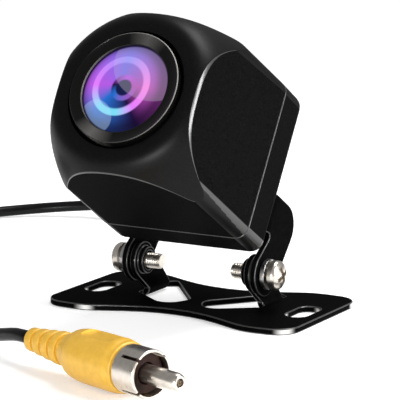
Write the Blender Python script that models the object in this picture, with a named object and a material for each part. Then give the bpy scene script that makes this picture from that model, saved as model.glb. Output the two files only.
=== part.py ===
"""Backup camera: a square, dome-nosed camera held by a yoke on a stamped two-eared base plate.

Metres, +Z up. The origin is the middle of the base plate's underside, +X is the right-hand side seen
from the front and -Y is the front. The camera, its yoke and its inner parts hang on an empty at the
tilt axis. Inside that, a second empty has its Z along the lens axis, with zero at the housing's seam.
"""
import math

import bmesh
import bpy
from mathutils import Matrix, Vector

MM = 0.001

# Fits
GAP = 0.3 * MM
ROUND_SLACK = 0.03 * MM

# Base plate, stamped from sheet
SHEET = 1.2 * MM
PLATE_LENGTH = 52.8 * MM
PLATE_DEPTH = 30.4 * MM
PLATE_WAIST = 20.0 * MM
WAIST_RADIUS = 24.0 * MM
LOBE_LENGTH = 9.6 * MM
LOBE_RADIUS = 4.0 * MM
END_RADIUS = 2.6 * MM
END_TAPER = 0.4 * MM
SLOT_SPACING = 43.6 * MM
SLOT_WIDTH = 4.4 * MM
SLOT_LENGTH = 9.2 * MM

# Ears bent up from the plate, and the windows that they leave
EAR_RADIUS = 3.5 * MM
EAR_ROOT_FRONT = 0.6 * MM
EAR_ROOT_WIDTH = 7.8 * MM
BEND_RADIUS = 0.6 * MM
BEND_SKIN = 0.05 * MM
COLLAR_RADIUS = 2.6 * MM
COLLAR_LENGTH = 1.1 * MM
BRIDGE_WIDTH = 2.8 * MM
BRIDGE_Y = -1.4 * MM
WINDOW_NOTCH = 1.3 * MM
WINDOW_LEAN = 1.8 * MM
WINDOW_FRONT = 7.4 * MM
WINDOW_FOOT = 4.0 * MM
WINDOW_TIP_RADIUS = 0.6 * MM
WINDOW_INNER_RADIUS = 2.2 * MM
WINDOW_FRONT_RADIUS = 3.0 * MM

# Tilt axis and hinge screws
PIVOT_Y = -1.3 * MM
PIVOT_HEIGHT = 7.8 * MM
TILT = math.radians(32.0)
SCREW_RADIUS = 1.5 * MM
SCREW_LENGTH = 8.2 * MM
SCREW_TIP = 0.3 * MM
HEAD_RADIUS = 2.8 * MM
HEAD_HEIGHT = 2.4 * MM
HEAD_SHOULDER = 0.95 * MM
RECESS_LENGTH = 3.2 * MM
RECESS_WIDTH = 0.85 * MM
RECESS_DEPTH = 1.2 * MM
RECESS_TURN = math.radians(28.0)
WASHER_RADIUS = 2.9 * MM
WASHER_THICK = 0.9 * MM
WASHER_SPLIT = math.radians(8.0)

# Yoke, bent from sheet, behind the rear cover
YOKE_SHEET = 1.2 * MM
YOKE_WIDTH = 28.8 * MM
YOKE_BEND = 1.0 * MM
YOKE_EAR_RADIUS = 4.0 * MM
YOKE_TOP = 2.9 * MM
YOKE_WEB = 7.6 * MM
YOKE_REACH = 12.2 * MM
YOKE_CORNER = 4.5 * MM
YOKE_NECK = 2.7 * MM
YOKE_SCREW_SPACING = 13.0 * MM
PIVOT_BEHIND = 4.95 * MM
PIVOT_BELOW = 1.86 * MM

# Camera housing
HOUSING_SIZE = 31.5 * MM
EDGE_RADIUS = 2.4 * MM
SIDE_LEAN = 1.35 * MM
NOSE = 29.2 * MM
COVER_DEPTH = 8.4 * MM
COVER_ROUND = 1.8 * MM
COVER_WALL = 1.8 * MM
SIDE_WALL = 2.35 * MM
LIP_RADIUS = 13.0 * MM
DOME_DEPTH = 16.8 * MM
DOME_OVERRUN = 0.9 * MM
DOME_HANDLE_FRONT = 2.8 * MM
DOME_HANDLE_SIDE = 13.5 * MM
DOME_HANDLE_IN = 3.8 * MM
SPIGOT_WALL = 1.6 * MM
SPIGOT_REACH = 1.5 * MM
GASKET_WIDTH = 0.7 * MM
GASKET_THICK = 1.0 * MM

# Lens stack, front to back
BEZEL_RADIUS = 10.75 * MM
BEZEL_PROUD = 0.9 * MM
BEZEL_FLANGE = 2.0 * MM
BEZEL_MOAT = 0.7 * MM
BEZEL_LIP = 0.7 * MM
BEZEL_WALL = 0.9 * MM
GLASS_RADIUS = 8.9 * MM
GLASS_OVERLAP = 0.4 * MM
GLASS_EDGE = 1.25 * MM
GLASS_CROWN = 0.8 * MM
GLASS_HOLLOW = 0.6 * MM
ORING_WIRE = 0.9 * MM
BARREL_FLANGE = 3.0 * MM
BARREL_RADIUS = 7.0 * MM
BARREL_WALL = 1.1 * MM
SHOULDER = 5.5 * MM
SECOND_LENS_EDGE = 1.6 * MM
REAR_LENS_RADIUS = 4.0 * MM
REAR_LENS_EDGE = 1.4 * MM
LENS_CROWN = 0.5 * MM
LEDGE = 0.9 * MM
STOP_LENGTH = 3.7 * MM
FILTER_THICK = 0.6 * MM

# Circuit board and what it carries
BOARD_THICK = 1.5 * MM
BOARD_CHAMFER = 1.5 * MM
BOARD_CLEAR = 1.3 * MM
HOLDER_BASE = 2.4 * MM
HOLDER_WALL = 1.2 * MM
SENSOR_SIZE = 6.0 * MM
SENSOR_THICK = 0.9 * MM
PLUG_BLOCK = (7.0 * MM, 4.0 * MM, 2.5 * MM)

# Small screws
SMALL_SCREW_RADIUS = 0.9 * MM
SMALL_HEAD_RADIUS = 1.5 * MM
SMALL_HEAD_HEIGHT = 1.2 * MM
SMALL_SHOULDER = 0.55 * MM
COVER_SCREW_INSET = 3.7 * MM
COVER_SCREW_BITE = 6.0 * MM

# Lead and its gland
CORD = 2.3 * MM
GLAND_RISE = 2.0 * MM
GLAND_NECK = 2.3 * MM
GLAND_FLANGE = 3.3 * MM
GLAND_LENGTH = 8.6 * MM
GLAND_TIP = 1.75 * MM
GLAND_RIBS = 4
GLAND_GROOVE = 0.7 * MM
GLAND_INNER = 0.7 * MM
GLAND_COLLAR = 1.2 * MM

# Stored coil of the lead
COIL_CENTRE = (-72.0 * MM, -6.0 * MM)
COIL_MIDDLE = 12.6 * MM
COIL_STEP = 3.2 * MM
COIL_LAYER_TURNS = 2.83
COIL_START = math.radians(180.0)
LOOP_SEGMENTS = 24
TIE_THICK = 0.8 * MM
TIE_WIDTH = 4.0 * MM
TIE_SLACK = 0.5 * MM
TIE_ANGLE = math.radians(20.0)

# Phono plug lying in front, pin to the right
PLUG_TAIL = (-2.6 * MM, -54.0 * MM)
PLUG_TURN = math.radians(-19.2)
PLUG_RADIUS = 4.7 * MM
BOOT_LENGTH = 10.2 * MM
BOOT_TAIL_RADIUS = 2.1 * MM
BOOT_ROOT_RADIUS = 2.9 * MM
BOOT_RIBS = 4
BOOT_GROOVE = 0.9 * MM
BOOT_GROOVE_DEPTH = 0.5 * MM
PLUG_BODY = 15.6 * MM
PLUG_SHOULDER = 2.4 * MM
SHOULDER_RADIUS = 4.0 * MM
PLUG_SWELL = 8.0 * MM
PLUG_FRONT_RADIUS = 4.4 * MM
PLUG_EDGE = 0.4 * MM
THUMB_WIDTH = 4.6 * MM
THUMB_LENGTH = 8.0 * MM
THUMB_DEPTH = 0.6 * MM
SHELL_RADIUS = 4.15 * MM
SHELL_WALL = 0.45 * MM
SHELL_LENGTH = 5.4 * MM
SHELL_SLOTS = 4
SHELL_SLOT = 0.6 * MM
SHELL_SLOT_LENGTH = 4.0 * MM
INSULATOR_LENGTH = 4.2 * MM
PIN_RADIUS = 1.6 * MM
PIN_REACH = 7.2 * MM
PIN_NOSE = 1.5 * MM
PIN_BORE = 0.75 * MM
PIN_BORE_DEPTH = 3.0 * MM

# Route of the lead after the gland, then from the coil to the plug
LEAD_ROUTE = (
    (-4.0 * MM, 25.5 * MM, 14.2 * MM),
    (-11.5 * MM, 36.5 * MM, 10.6 * MM),
    (-21.5 * MM, 47.0 * MM, 8.0 * MM),
    (-34.0 * MM, 55.5 * MM, 6.0 * MM),
    (-47.5 * MM, 60.5 * MM, 4.4 * MM),
    (-61.5 * MM, 61.5 * MM, 2.9 * MM),
    (-75.0 * MM, 56.0 * MM, 1.7 * MM),
    (-85.0 * MM, 43.5 * MM, 1.2 * MM),
    (-88.8 * MM, 22.0 * MM, 1.6 * MM),
)
END_ROUTE = (
    (-66.0 * MM, -27.5 * MM, 3.1 * MM),
    (-50.0 * MM, -34.5 * MM, 1.6 * MM),
    (-33.0 * MM, -41.0 * MM, 1.6 * MM),
    (-18.0 * MM, -47.0 * MM, 2.3 * MM),
)

# What follows from the sizes above
HALF = HOUSING_SIZE / 2
LIP = NOSE - BEZEL_PROUD
CAVITY_RADIUS = HALF - SIDE_WALL
GLASS_RIM = NOSE - BEZEL_LIP - GAP
GLASS_BACK = GLASS_RIM - GLASS_EDGE
ORING_MIDDLE = GLASS_BACK - GAP - ORING_WIRE / 2
BARREL_FRONT = ORING_MIDDLE - ORING_WIRE / 2 - GAP
BARREL_SEAT = BARREL_FRONT - BARREL_FLANGE
BORE_FLOOR = BARREL_SEAT - GAP
CEILING = BORE_FLOOR - SHOULDER
SPIGOT_RADIUS = CAVITY_RADIUS - GAP
BOARD_BACK = SPIGOT_REACH + GAP
BOARD_FRONT = BOARD_BACK + BOARD_THICK
HOLDER_BACK = BOARD_FRONT + GAP
HOLDER_FLOOR = HOLDER_BACK + HOLDER_BASE
BARREL_BACK = HOLDER_FLOOR + 3 * GAP
PIVOT_BACK = COVER_DEPTH + PIVOT_BEHIND
PIVOT_DROP = HALF + PIVOT_BELOW
YOKE_FACE = YOKE_WIDTH / 2
EAR_FACE = YOKE_FACE - YOKE_SHEET - GAP
COVER_SCREW = HALF - COVER_SCREW_INSET
SMALL_HOLE = SMALL_SCREW_RADIUS + GAP
COVER_SCREW_SEAT = SMALL_HEAD_HEIGHT - COVER_DEPTH
CORNERS = (("top_right", 1, 1), ("top_left", -1, 1), ("bottom_left", -1, -1), ("bottom_right", 1, -1))


def clear_scene():
    for old in list(bpy.data.objects):
        bpy.data.objects.remove(old, do_unlink=True)


def material(name, colour, roughness, metallic=0.0):
    mat = bpy.data.materials.new(name)
    mat.use_nodes = True
    shader = mat.node_tree.nodes["Principled BSDF"]
    shader.inputs["Base Color"].default_value = (*colour, 1.0)
    shader.inputs["Roughness"].default_value = roughness
    shader.inputs["Metallic"].default_value = metallic
    return mat


def add_empty(name, parent=None, location=(0, 0, 0), rotation=(0, 0, 0)):
    empty = bpy.data.objects.new(name, None)
    bpy.context.scene.collection.objects.link(empty)
    empty.parent = parent
    empty.location = location
    empty.rotation_euler = rotation
    return empty


def add_mesh(name, bm, mat=None, parent=None, location=(0, 0, 0), rotation=(0, 0, 0)):
    bmesh.ops.recalc_face_normals(bm, faces=bm.faces)
    mesh = bpy.data.meshes.new(name)
    bm.to_mesh(mesh)
    bm.free()
    if mat:
        mesh.materials.append(mat)
    mesh.shade_smooth()
    mesh.set_sharp_from_angle(angle=math.radians(30))
    obj = bpy.data.objects.new(name, mesh)
    bpy.context.scene.collection.objects.link(obj)
    obj.parent = parent
    obj.location = location
    obj.rotation_euler = rotation
    return obj


def shape(target, tool, operation="DIFFERENCE"):
    """Cut, join or trim one object by another, which stays as a hidden tool."""
    tool.hide_render = True
    tool.display_type = "WIRE"
    modifier = target.modifiers.new(tool.name, "BOOLEAN")
    modifier.solver = "EXACT"
    modifier.operation = operation
    modifier.object = tool


def turned(profile, segments=40, closed=False, sweep=2 * math.pi):
    """Turn an (r, z) profile about Z: a closed ring profile, or an open one from axis to axis."""
    bm = bmesh.new()
    full = sweep > 2 * math.pi - 1e-6
    steps = segments if full else segments + 1
    rings = []
    for r, z in profile:
        if r < 1e-9:
            rings.append([bm.verts.new((0, 0, z))])
            continue
        ring = []
        for i in range(steps):
            a = sweep * i / segments
            ring.append(bm.verts.new((r * math.cos(a), r * math.sin(a), z)))
        rings.append(ring)
    pairs = list(zip(rings, rings[1:]))
    if closed:
        pairs.append((rings[-1], rings[0]))
    for low, high in pairs:
        for i in range(segments):
            j = (i + 1) % steps
            corners = [low[i % len(low)], low[j % len(low)], high[j % len(high)], high[i % len(high)]]
            face = list(dict.fromkeys(corners))
            if len(face) > 2:
                bm.faces.new(face)
    if not full:
        bm.faces.new([ring[0] for ring in rings])
        bm.faces.new([ring[-1] for ring in rings])
    return bm


def prism(outline, low, high):
    """Extrude an (x, y) outline along Z."""
    return loft([[(x, y, low) for x, y in outline], [(x, y, high) for x, y in outline]])


def loft(sections):
    """Skin sections that have equal counts of points, and close both ends."""
    bm = bmesh.new()
    rings = [[bm.verts.new(p) for p in section] for section in sections]
    count = len(rings[0])
    for low, high in zip(rings, rings[1:]):
        for i in range(count):
            j = (i + 1) % count
            bm.faces.new((low[i], low[j], high[j], high[i]))
    bm.faces.new(rings[0])
    bm.faces.new(rings[-1])
    return bm


def block(size, centre=(0, 0, 0)):
    bm = bmesh.new()
    bmesh.ops.create_cube(bm, size=1.0)
    bmesh.ops.scale(bm, vec=size, verts=bm.verts)
    bmesh.ops.translate(bm, vec=centre, verts=bm.verts)
    return bm


def rod(radius, low, high, segments=24):
    return turned([(0, high), (radius, high), (radius, low), (0, low)], segments)


def moved(bm, matrix):
    bmesh.ops.transform(bm, matrix=matrix, verts=bm.verts)
    return bm


def rounded(corners, steps=6):
    """Outline through (x, y, radius) corners, each rounded by an arc of its radius."""
    points = []
    count = len(corners)
    for i, (x, y, radius) in enumerate(corners):
        here = Vector((x, y))
        back = (Vector(corners[i - 1][:2]) - here).normalized()
        ahead = (Vector(corners[(i + 1) % count][:2]) - here).normalized()
        if radius <= 0:
            points.append(tuple(here))
            continue
        half = back.angle(ahead) / 2
        centre = here + (back + ahead).normalized() * (radius / math.sin(half))
        first = here + back * (radius / math.tan(half)) - centre
        turn = math.pi - 2 * half
        side = 1 if back.x * ahead.y - back.y * ahead.x < 0 else -1
        for k in range(steps + 1):
            points.append(tuple(centre + Matrix.Rotation(side * turn * k / steps, 2) @ first))
    return points


def octagon(half, chamfer):
    inner = half - chamfer
    return [(half, -inner), (half, inner), (inner, half), (-inner, half),
            (-half, inner), (-half, -inner), (-inner, -half), (inner, -half)]


def bezier(p0, p1, p2, p3, count):
    points = []
    for i in range(count + 1):
        t = i / count
        s = 1 - t
        weights = (s ** 3, 3 * s * s * t, 3 * s * t * t, t ** 3)
        points.append(tuple(sum(w * p[k] for w, p in zip(weights, (p0, p1, p2, p3))) for k in (0, 1)))
    return points


def pan_head(radius, height, shoulder, steps):
    """Profile of a screw head from its crown to its seat at z = 0."""
    crown = [(0, height)]
    for i in range(1, steps + 1):
        a = math.pi / 2 * i / steps
        crown.append((radius * math.sin(a), shoulder + (height - shoulder) * math.cos(a)))
    return crown + [(radius, 0)]


def small_screw(reach):
    """Pan head on its seat at z = 0, shank down by its reach."""
    head = pan_head(SMALL_HEAD_RADIUS, SMALL_HEAD_HEIGHT, SMALL_SHOULDER, 3)
    return turned(head + [(SMALL_SCREW_RADIUS, 0), (SMALL_SCREW_RADIUS, -reach), (0, -reach)], 16)


def smooth_route(points, step):
    """Points about a step apart on a smooth curve through the given ones."""
    ends = [points[0] * 2 - points[1]] + points + [points[-1] * 2 - points[-2]]
    route = []
    for p0, p1, p2, p3 in zip(ends, ends[1:], ends[2:], ends[3:]):
        count = max(2, round((p2 - p1).length / step))
        for i in range(count):
            t = i / count
            route.append(0.5 * (2 * p1 + (p2 - p0) * t + (2 * p0 - 5 * p1 + 4 * p2 - p3) * t * t
                                + (3 * p1 - p0 - 3 * p2 + p3) * t ** 3))
    return route + [points[-1]]


def tube(name, points, mat, resolution=2):
    curve = bpy.data.curves.new(name, "CURVE")
    curve.dimensions = "3D"
    curve.bevel_depth = CORD / 2
    curve.bevel_resolution = resolution
    curve.use_fill_caps = True
    curve.twist_mode = "MINIMUM"
    spline = curve.splines.new("POLY")
    spline.points.add(len(points) - 1)
    for spot, p in zip(spline.points, points):
        spot.co = (*p, 1.0)
    curve.materials.append(mat)
    obj = bpy.data.objects.new(name, curve)
    bpy.context.scene.collection.objects.link(obj)
    return obj


def plate_outline():
    end = PLATE_LENGTH / 2
    deep = PLATE_DEPTH / 2
    lobe = end - LOBE_LENGTH
    apex = waist_apex(lobe, deep)
    front = [(-end, -deep + END_TAPER, END_RADIUS), (-lobe, -deep, LOBE_RADIUS), (0, -apex, WAIST_RADIUS),
             (lobe, -deep, LOBE_RADIUS), (end, -deep + END_TAPER, END_RADIUS)]
    return front + [(-x, -y, r) for x, y, r in front]


def waist_apex(lobe, deep):
    """Where tangents from the lobes to the waist's arc cross on the middle line."""
    centre = PLATE_WAIST / 2 + WAIST_RADIUS
    reach = math.hypot(lobe, centre - deep)
    slope = math.atan2(lobe, centre - deep) - math.acos(min(1.0, WAIST_RADIUS / reach))
    return centre - WAIST_RADIUS / math.cos(slope)


def window_outline(side):
    """Opening that the ear was bent out of, on the inner side of its bend."""
    bend = EAR_FACE + BEND_RADIUS - GAP
    back = EAR_ROOT_FRONT + EAR_ROOT_WIDTH + WINDOW_NOTCH
    corners = [(bend, EAR_ROOT_FRONT - WINDOW_NOTCH, WINDOW_TIP_RADIUS),
               (bend, back, WINDOW_TIP_RADIUS),
               (bend - WINDOW_LEAN, back + WINDOW_NOTCH, WINDOW_TIP_RADIUS),
               (BRIDGE_WIDTH / 2, BRIDGE_Y, WINDOW_INNER_RADIUS),
               (WINDOW_FOOT, -WINDOW_FRONT, WINDOW_FRONT_RADIUS)]
    return [(side * x, y) for x, y in rounded(corners)]


def ear_outline():
    """Ear seen from the side, as (y, z): a leaning tab from its root to the round end."""
    back = EAR_ROOT_FRONT + EAR_ROOT_WIDTH
    eye = Vector((PIVOT_Y, PIVOT_HEIGHT))
    tips = []
    for root_y, side in ((EAR_ROOT_FRONT, -1), (back, 1)):
        root = Vector((root_y, SHEET + BEND_RADIUS))
        away = eye - root
        swing = math.acos(min(1.0, EAR_RADIUS / away.length))
        towards = math.atan2(-away.y, -away.x) + side * swing
        tips.append((towards, root_y))
    start, stop = tips[1][0], tips[0][0]
    while stop < start:
        stop += 2 * math.pi
    arc = []
    for i in range(17):
        a = start + (stop - start) * i / 16
        arc.append((eye.x + EAR_RADIUS * math.cos(a), eye.y + EAR_RADIUS * math.sin(a)))
    return [(EAR_ROOT_FRONT, -SHEET), (back, -SHEET), (back, SHEET + BEND_RADIUS)] + arc + [
        (EAR_ROOT_FRONT, SHEET + BEND_RADIUS)]


def bend_profile(face, sheet, radius, foot, height, steps=6):
    """Section of a sheet that runs in along z = 0, turns up by an arc and stands with one face at x = face.

    The flat stretch keeps a skin's thickness inside the plate, so that no two faces coincide.
    """
    centre = (face + radius, sheet + radius)
    outer = [(centre[0] - (radius + sheet) * math.sin(a), centre[1] - (radius + sheet) * math.cos(a))
             for a in (math.pi / 2 * i / steps for i in range(steps + 1))]
    inner = [(centre[0] - radius * math.sin(a), centre[1] - radius * math.cos(a))
             for a in (math.pi / 2 * i / steps for i in range(steps, -1, -1))]
    upright = [(face - sheet, height), (face, height)]
    return ([(foot, BEND_SKIN), (centre[0], BEND_SKIN)] + outer[1:] + upright + inner[:-1]
            + [(centre[0], sheet - BEND_SKIN), (foot, sheet - BEND_SKIN)])


def build_base_plate(mat):
    plate = add_mesh("base_plate", prism(rounded(plate_outline()), 0, SHEET), mat)
    slot = [(x * SLOT_WIDTH / 2, y * SLOT_LENGTH / 2, SLOT_WIDTH / 2 - ROUND_SLACK)
            for x, y in ((1, -1), (1, 1), (-1, 1), (-1, -1))]
    for side, tag in ((-1, "left"), (1, "right")):
        window = add_mesh(f"window_{tag}", prism(window_outline(side), -SHEET, 2 * SHEET))
        shape(plate, window)
        opening = [(x + side * SLOT_SPACING / 2, y) for x, y in rounded(slot)]
        shape(plate, add_mesh(f"slot_{tag}", prism(opening, -SHEET, 2 * SHEET)))
    for side, tag in ((-1, "left"), (1, "right")):
        top = PIVOT_HEIGHT + 2 * EAR_RADIUS
        section = bend_profile(EAR_FACE, SHEET, BEND_RADIUS, EAR_FACE + 3 * SHEET, top)
        lengthwise = [[(side * x, y, z) for x, z in section] for y in (-PLATE_WAIST, PLATE_WAIST)]
        ear = add_mesh(f"ear_{tag}", loft(lengthwise))
        span = (EAR_FACE - 3 * SHEET, EAR_FACE + 5 * SHEET)
        punch = [[(side * x, y, z) for y, z in ear_outline()] for x in span]
        shape(ear, add_mesh(f"ear_punch_{tag}", loft(punch)), "INTERSECT")
        shape(plate, ear, "UNION")
        inside = EAR_FACE - SHEET
        collar = rod(COLLAR_RADIUS, inside - COLLAR_LENGTH, inside + SHEET / 2, 32)
        turn = Matrix.Translation((0, PIVOT_Y, PIVOT_HEIGHT)) @ Matrix.Rotation(side * math.pi / 2, 4, "Y")
        shape(plate, add_mesh(f"collar_{tag}", moved(collar, turn)), "UNION")
    turn = Matrix.Translation((0, PIVOT_Y, PIVOT_HEIGHT)) @ Matrix.Rotation(math.pi / 2, 4, "Y")
    hole = rod(SCREW_RADIUS + GAP, -YOKE_WIDTH, YOKE_WIDTH, 32)
    shape(plate, add_mesh("ear_holes", moved(hole, turn)))


def build_hinge_screws(steel, spring):
    seat = YOKE_FACE + GAP + WASHER_THICK + GAP
    profile = pan_head(HEAD_RADIUS, HEAD_HEIGHT, HEAD_SHOULDER, 6)
    profile += [(SCREW_RADIUS, 0), (SCREW_RADIUS, -SCREW_LENGTH + SCREW_TIP),
                (SCREW_RADIUS - SCREW_TIP, -SCREW_LENGTH), (0, -SCREW_LENGTH)]
    bore = SCREW_RADIUS + GAP
    ring = [(bore, 0), (WASHER_RADIUS, 0), (WASHER_RADIUS, WASHER_THICK), (bore, WASHER_THICK)]
    for side, tag in ((-1, "left"), (1, "right")):
        turn = (0, side * math.pi / 2, 0)
        place = (side * seat, PIVOT_Y, PIVOT_HEIGHT)
        screw = add_mesh(f"hinge_screw_{tag}", turned(profile, 24), steel, None, place, turn)
        for k in range(2):
            cross = block((RECESS_LENGTH, RECESS_WIDTH, 2 * RECESS_DEPTH), (0, 0, HEAD_HEIGHT))
            cross = moved(cross, Matrix.Rotation(k * math.pi / 2 + RECESS_TURN, 4, "Z"))
            shape(screw, add_mesh(f"recess_{tag}_{k}", cross, None, None, place, turn))
        add_mesh(f"lock_washer_{tag}", turned(ring, 28, True, 2 * math.pi - WASHER_SPLIT), spring, None,
                 (side * (YOKE_FACE + GAP), PIVOT_Y, PIVOT_HEIGHT), turn)


def housing_section(z, lean=0.0, inset=0.0):
    """Rounded square of the housing at z, its sides moved in by the lean and all of it by the inset."""
    wide = HALF - lean - inset
    high = HALF - inset
    radius = EDGE_RADIUS - inset
    corners = [(wide, -high, radius), (wide, high, radius), (-wide, high, radius), (-wide, -high, radius)]
    return [(x, y, z) for x, y in rounded(corners, 5)]


def build_front_housing(lens, mat, rubber):
    corner = math.sqrt(2) * (HALF - EDGE_RADIUS) + EDGE_RADIUS + DOME_OVERRUN
    dome = bezier((LIP_RADIUS, LIP), (LIP_RADIUS + DOME_HANDLE_FRONT, LIP),
                  (corner - DOME_HANDLE_IN, LIP - DOME_DEPTH + DOME_HANDLE_SIDE),
                  (corner, LIP - DOME_DEPTH), 10)
    sections = [housing_section(0), housing_section(NOSE, SIDE_LEAN)]
    housing = add_mesh("front_housing", loft(sections), mat, lens)
    form = [(0, LIP)] + dome + [(corner, -GAP), (0, -GAP)]
    shape(housing, add_mesh("dome_form", turned(form, 76), None, lens), "INTERSECT")
    moat = BEZEL_RADIUS + BEZEL_MOAT
    front_bore = GLASS_RADIUS + GAP + BEZEL_WALL + GAP
    flange_seat = NOSE - BEZEL_FLANGE - GAP
    rebate = SPIGOT_RADIUS + GAP + GASKET_WIDTH + GAP
    rebate_depth = GASKET_THICK + GAP
    hollow = [(0, NOSE + GAP), (moat, NOSE + GAP), (moat, flange_seat), (front_bore, flange_seat),
              (front_bore, BORE_FLOOR), (BARREL_RADIUS + GAP, BORE_FLOOR), (BARREL_RADIUS + GAP, CEILING),
              (CAVITY_RADIUS, CEILING), (CAVITY_RADIUS, rebate_depth), (rebate, rebate_depth),
              (rebate, -SHEET), (0, -SHEET)]
    shape(housing, add_mesh("front_hollow", turned(hollow, 48), None, lens))
    for name, sx, sy in CORNERS:
        hole = rod(SMALL_HOLE, -SHEET, COVER_SCREW_BITE + GAP, 16)
        place = (sx * COVER_SCREW, sy * COVER_SCREW, 0)
        shape(housing, add_mesh(f"cover_screw_hole_{name}", hole, None, lens, place))
    gasket_in = SPIGOT_RADIUS + GAP
    ring = [(gasket_in, 0), (gasket_in + GASKET_WIDTH, 0),
            (gasket_in + GASKET_WIDTH, GASKET_THICK), (gasket_in, GASKET_THICK)]
    add_mesh("housing_gasket", turned(ring, 36, True), rubber, lens)


def build_rear_cover(lens, mat):
    steps = 5
    sections = [housing_section(-GAP)]
    for i in range(steps + 1):
        a = math.pi / 2 * i / steps
        inset = COVER_ROUND * (1 - math.cos(a))
        z = -COVER_DEPTH + COVER_ROUND * (1 - math.sin(a))
        sections.append(housing_section(z, 0, inset))
    cover = add_mesh("rear_cover", loft(sections), mat, lens)
    spigot_bore = SPIGOT_RADIUS - SPIGOT_WALL
    hollow = rod(spigot_bore - GAP / 2, -COVER_DEPTH + COVER_WALL, SPIGOT_REACH, 48)
    shape(cover, add_mesh("cover_hollow", hollow, None, lens))
    gland_hole = rod(GLAND_NECK + GAP, -2 * COVER_DEPTH, 0, 24)
    shape(cover, add_mesh("gland_hole", gland_hole, None, lens, (0, GLAND_RISE, 0)))
    sink = SMALL_HEAD_RADIUS + GAP
    floor = COVER_SCREW_SEAT + GAP
    for name, sx, sy in CORNERS:
        place = (sx * COVER_SCREW, sy * COVER_SCREW, 0)
        well = turned([(0, SHEET), (SMALL_HOLE, SHEET), (SMALL_HOLE, floor), (sink, floor),
                       (sink, -2 * COVER_DEPTH), (0, -2 * COVER_DEPTH)], 20)
        shape(cover, add_mesh(f"cover_screw_well_{name}", well, None, lens, place))
    for side in (-1, 1):
        hole = rod(SMALL_HOLE, -2 * COVER_DEPTH, 0, 16)
        place = (side * YOKE_SCREW_SPACING / 2, -YOKE_TOP - YOKE_WEB / 2, 0)
        shape(cover, add_mesh(f"yoke_screw_hole_{side}", hole, None, lens, place))
    spigot = [(spigot_bore, -COVER_DEPTH / 2), (SPIGOT_RADIUS, -COVER_DEPTH / 2),
              (SPIGOT_RADIUS, SPIGOT_REACH), (spigot_bore, SPIGOT_REACH)]
    shape(cover, add_mesh("cover_spigot", turned(spigot, 48, True), None, lens), "UNION")


def u_section(steps=6):
    """Web and two arms of the yoke seen from above, as (x, depth behind the web's front)."""
    reach = YOKE_REACH + YOKE_SHEET
    big = YOKE_BEND + YOKE_SHEET
    angles = [math.pi / 2 * i / steps for i in range(steps + 1)]
    outside = [(YOKE_FACE - big + big * math.sin(a), big - big * math.cos(a)) for a in angles]
    inside = [(YOKE_FACE - big + YOKE_BEND * math.sin(a), big - YOKE_BEND * math.cos(a))
              for a in reversed(angles)]
    right = outside + [(YOKE_FACE, reach), (YOKE_FACE - YOKE_SHEET, reach)] + inside
    return right + [(-x, y) for x, y in reversed(right)]


def build_yoke(lens, mat):
    front = COVER_DEPTH + GAP
    ear = YOKE_EAR_RADIUS
    low = -PIVOT_DROP - ear
    neck = front + YOKE_NECK
    under = -YOKE_TOP - YOKE_WEB
    side_view = rounded([(front - YOKE_SHEET, -YOKE_TOP, 0),
                         (front + YOKE_REACH, -YOKE_TOP, YOKE_CORNER),
                         (PIVOT_BACK + ear, low, ear - ROUND_SLACK),
                         (PIVOT_BACK, low, 0),
                         (PIVOT_BACK, -PIVOT_DROP, 0),
                         (neck, -PIVOT_DROP + ear, 0),
                         (neck, under, YOKE_SHEET / 2),
                         (front - YOKE_SHEET, under, 0)], 8)
    lobe = rounded([(PIVOT_BACK + YOKE_SHEET, low, 0),
                    (PIVOT_BACK - ear, low, ear - ROUND_SLACK),
                    (PIVOT_BACK - ear, -PIVOT_DROP + ear / 4, ear / 2),
                    (neck, under - YOKE_SHEET, 0),
                    (neck + YOKE_SHEET, under - YOKE_SHEET, 0),
                    (PIVOT_BACK + YOKE_SHEET, -PIVOT_DROP + ear, 0)], 8)
    bar = [[(x, v, -front - w) for x, w in u_section()] for v in (low - YOKE_SHEET, YOKE_SHEET)]
    yoke = add_mesh("yoke", loft(bar), mat, lens)
    punch = [[(x, v, -w) for w, v in side_view] for x in (-YOKE_WIDTH, YOKE_WIDTH)]
    shape(yoke, add_mesh("yoke_punch", loft(punch), None, lens), "INTERSECT")
    for side, tag in ((-1, "left"), (1, "right")):
        ends = [[(side * x, v, -w) for w, v in lobe] for x in (YOKE_FACE - YOKE_SHEET, YOKE_FACE)]
        shape(yoke, add_mesh(f"yoke_lobe_{tag}", loft(ends), None, lens), "UNION")
    turn = Matrix.Translation((0, -PIVOT_DROP, -PIVOT_BACK)) @ Matrix.Rotation(math.pi / 2, 4, "Y")
    eye = moved(rod(SCREW_RADIUS + GAP, -YOKE_WIDTH, YOKE_WIDTH, 32), turn)
    shape(yoke, add_mesh("yoke_eye", eye, None, lens))
    for side, tag in ((-1, "left"), (1, "right")):
        place = (side * YOKE_SCREW_SPACING / 2, -YOKE_TOP - YOKE_WEB / 2, 0)
        hole = rod(SMALL_HOLE, -front - 3 * YOKE_SHEET, -front + YOKE_SHEET, 16)
        shape(yoke, add_mesh(f"web_hole_{tag}", hole, None, lens, place))


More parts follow.
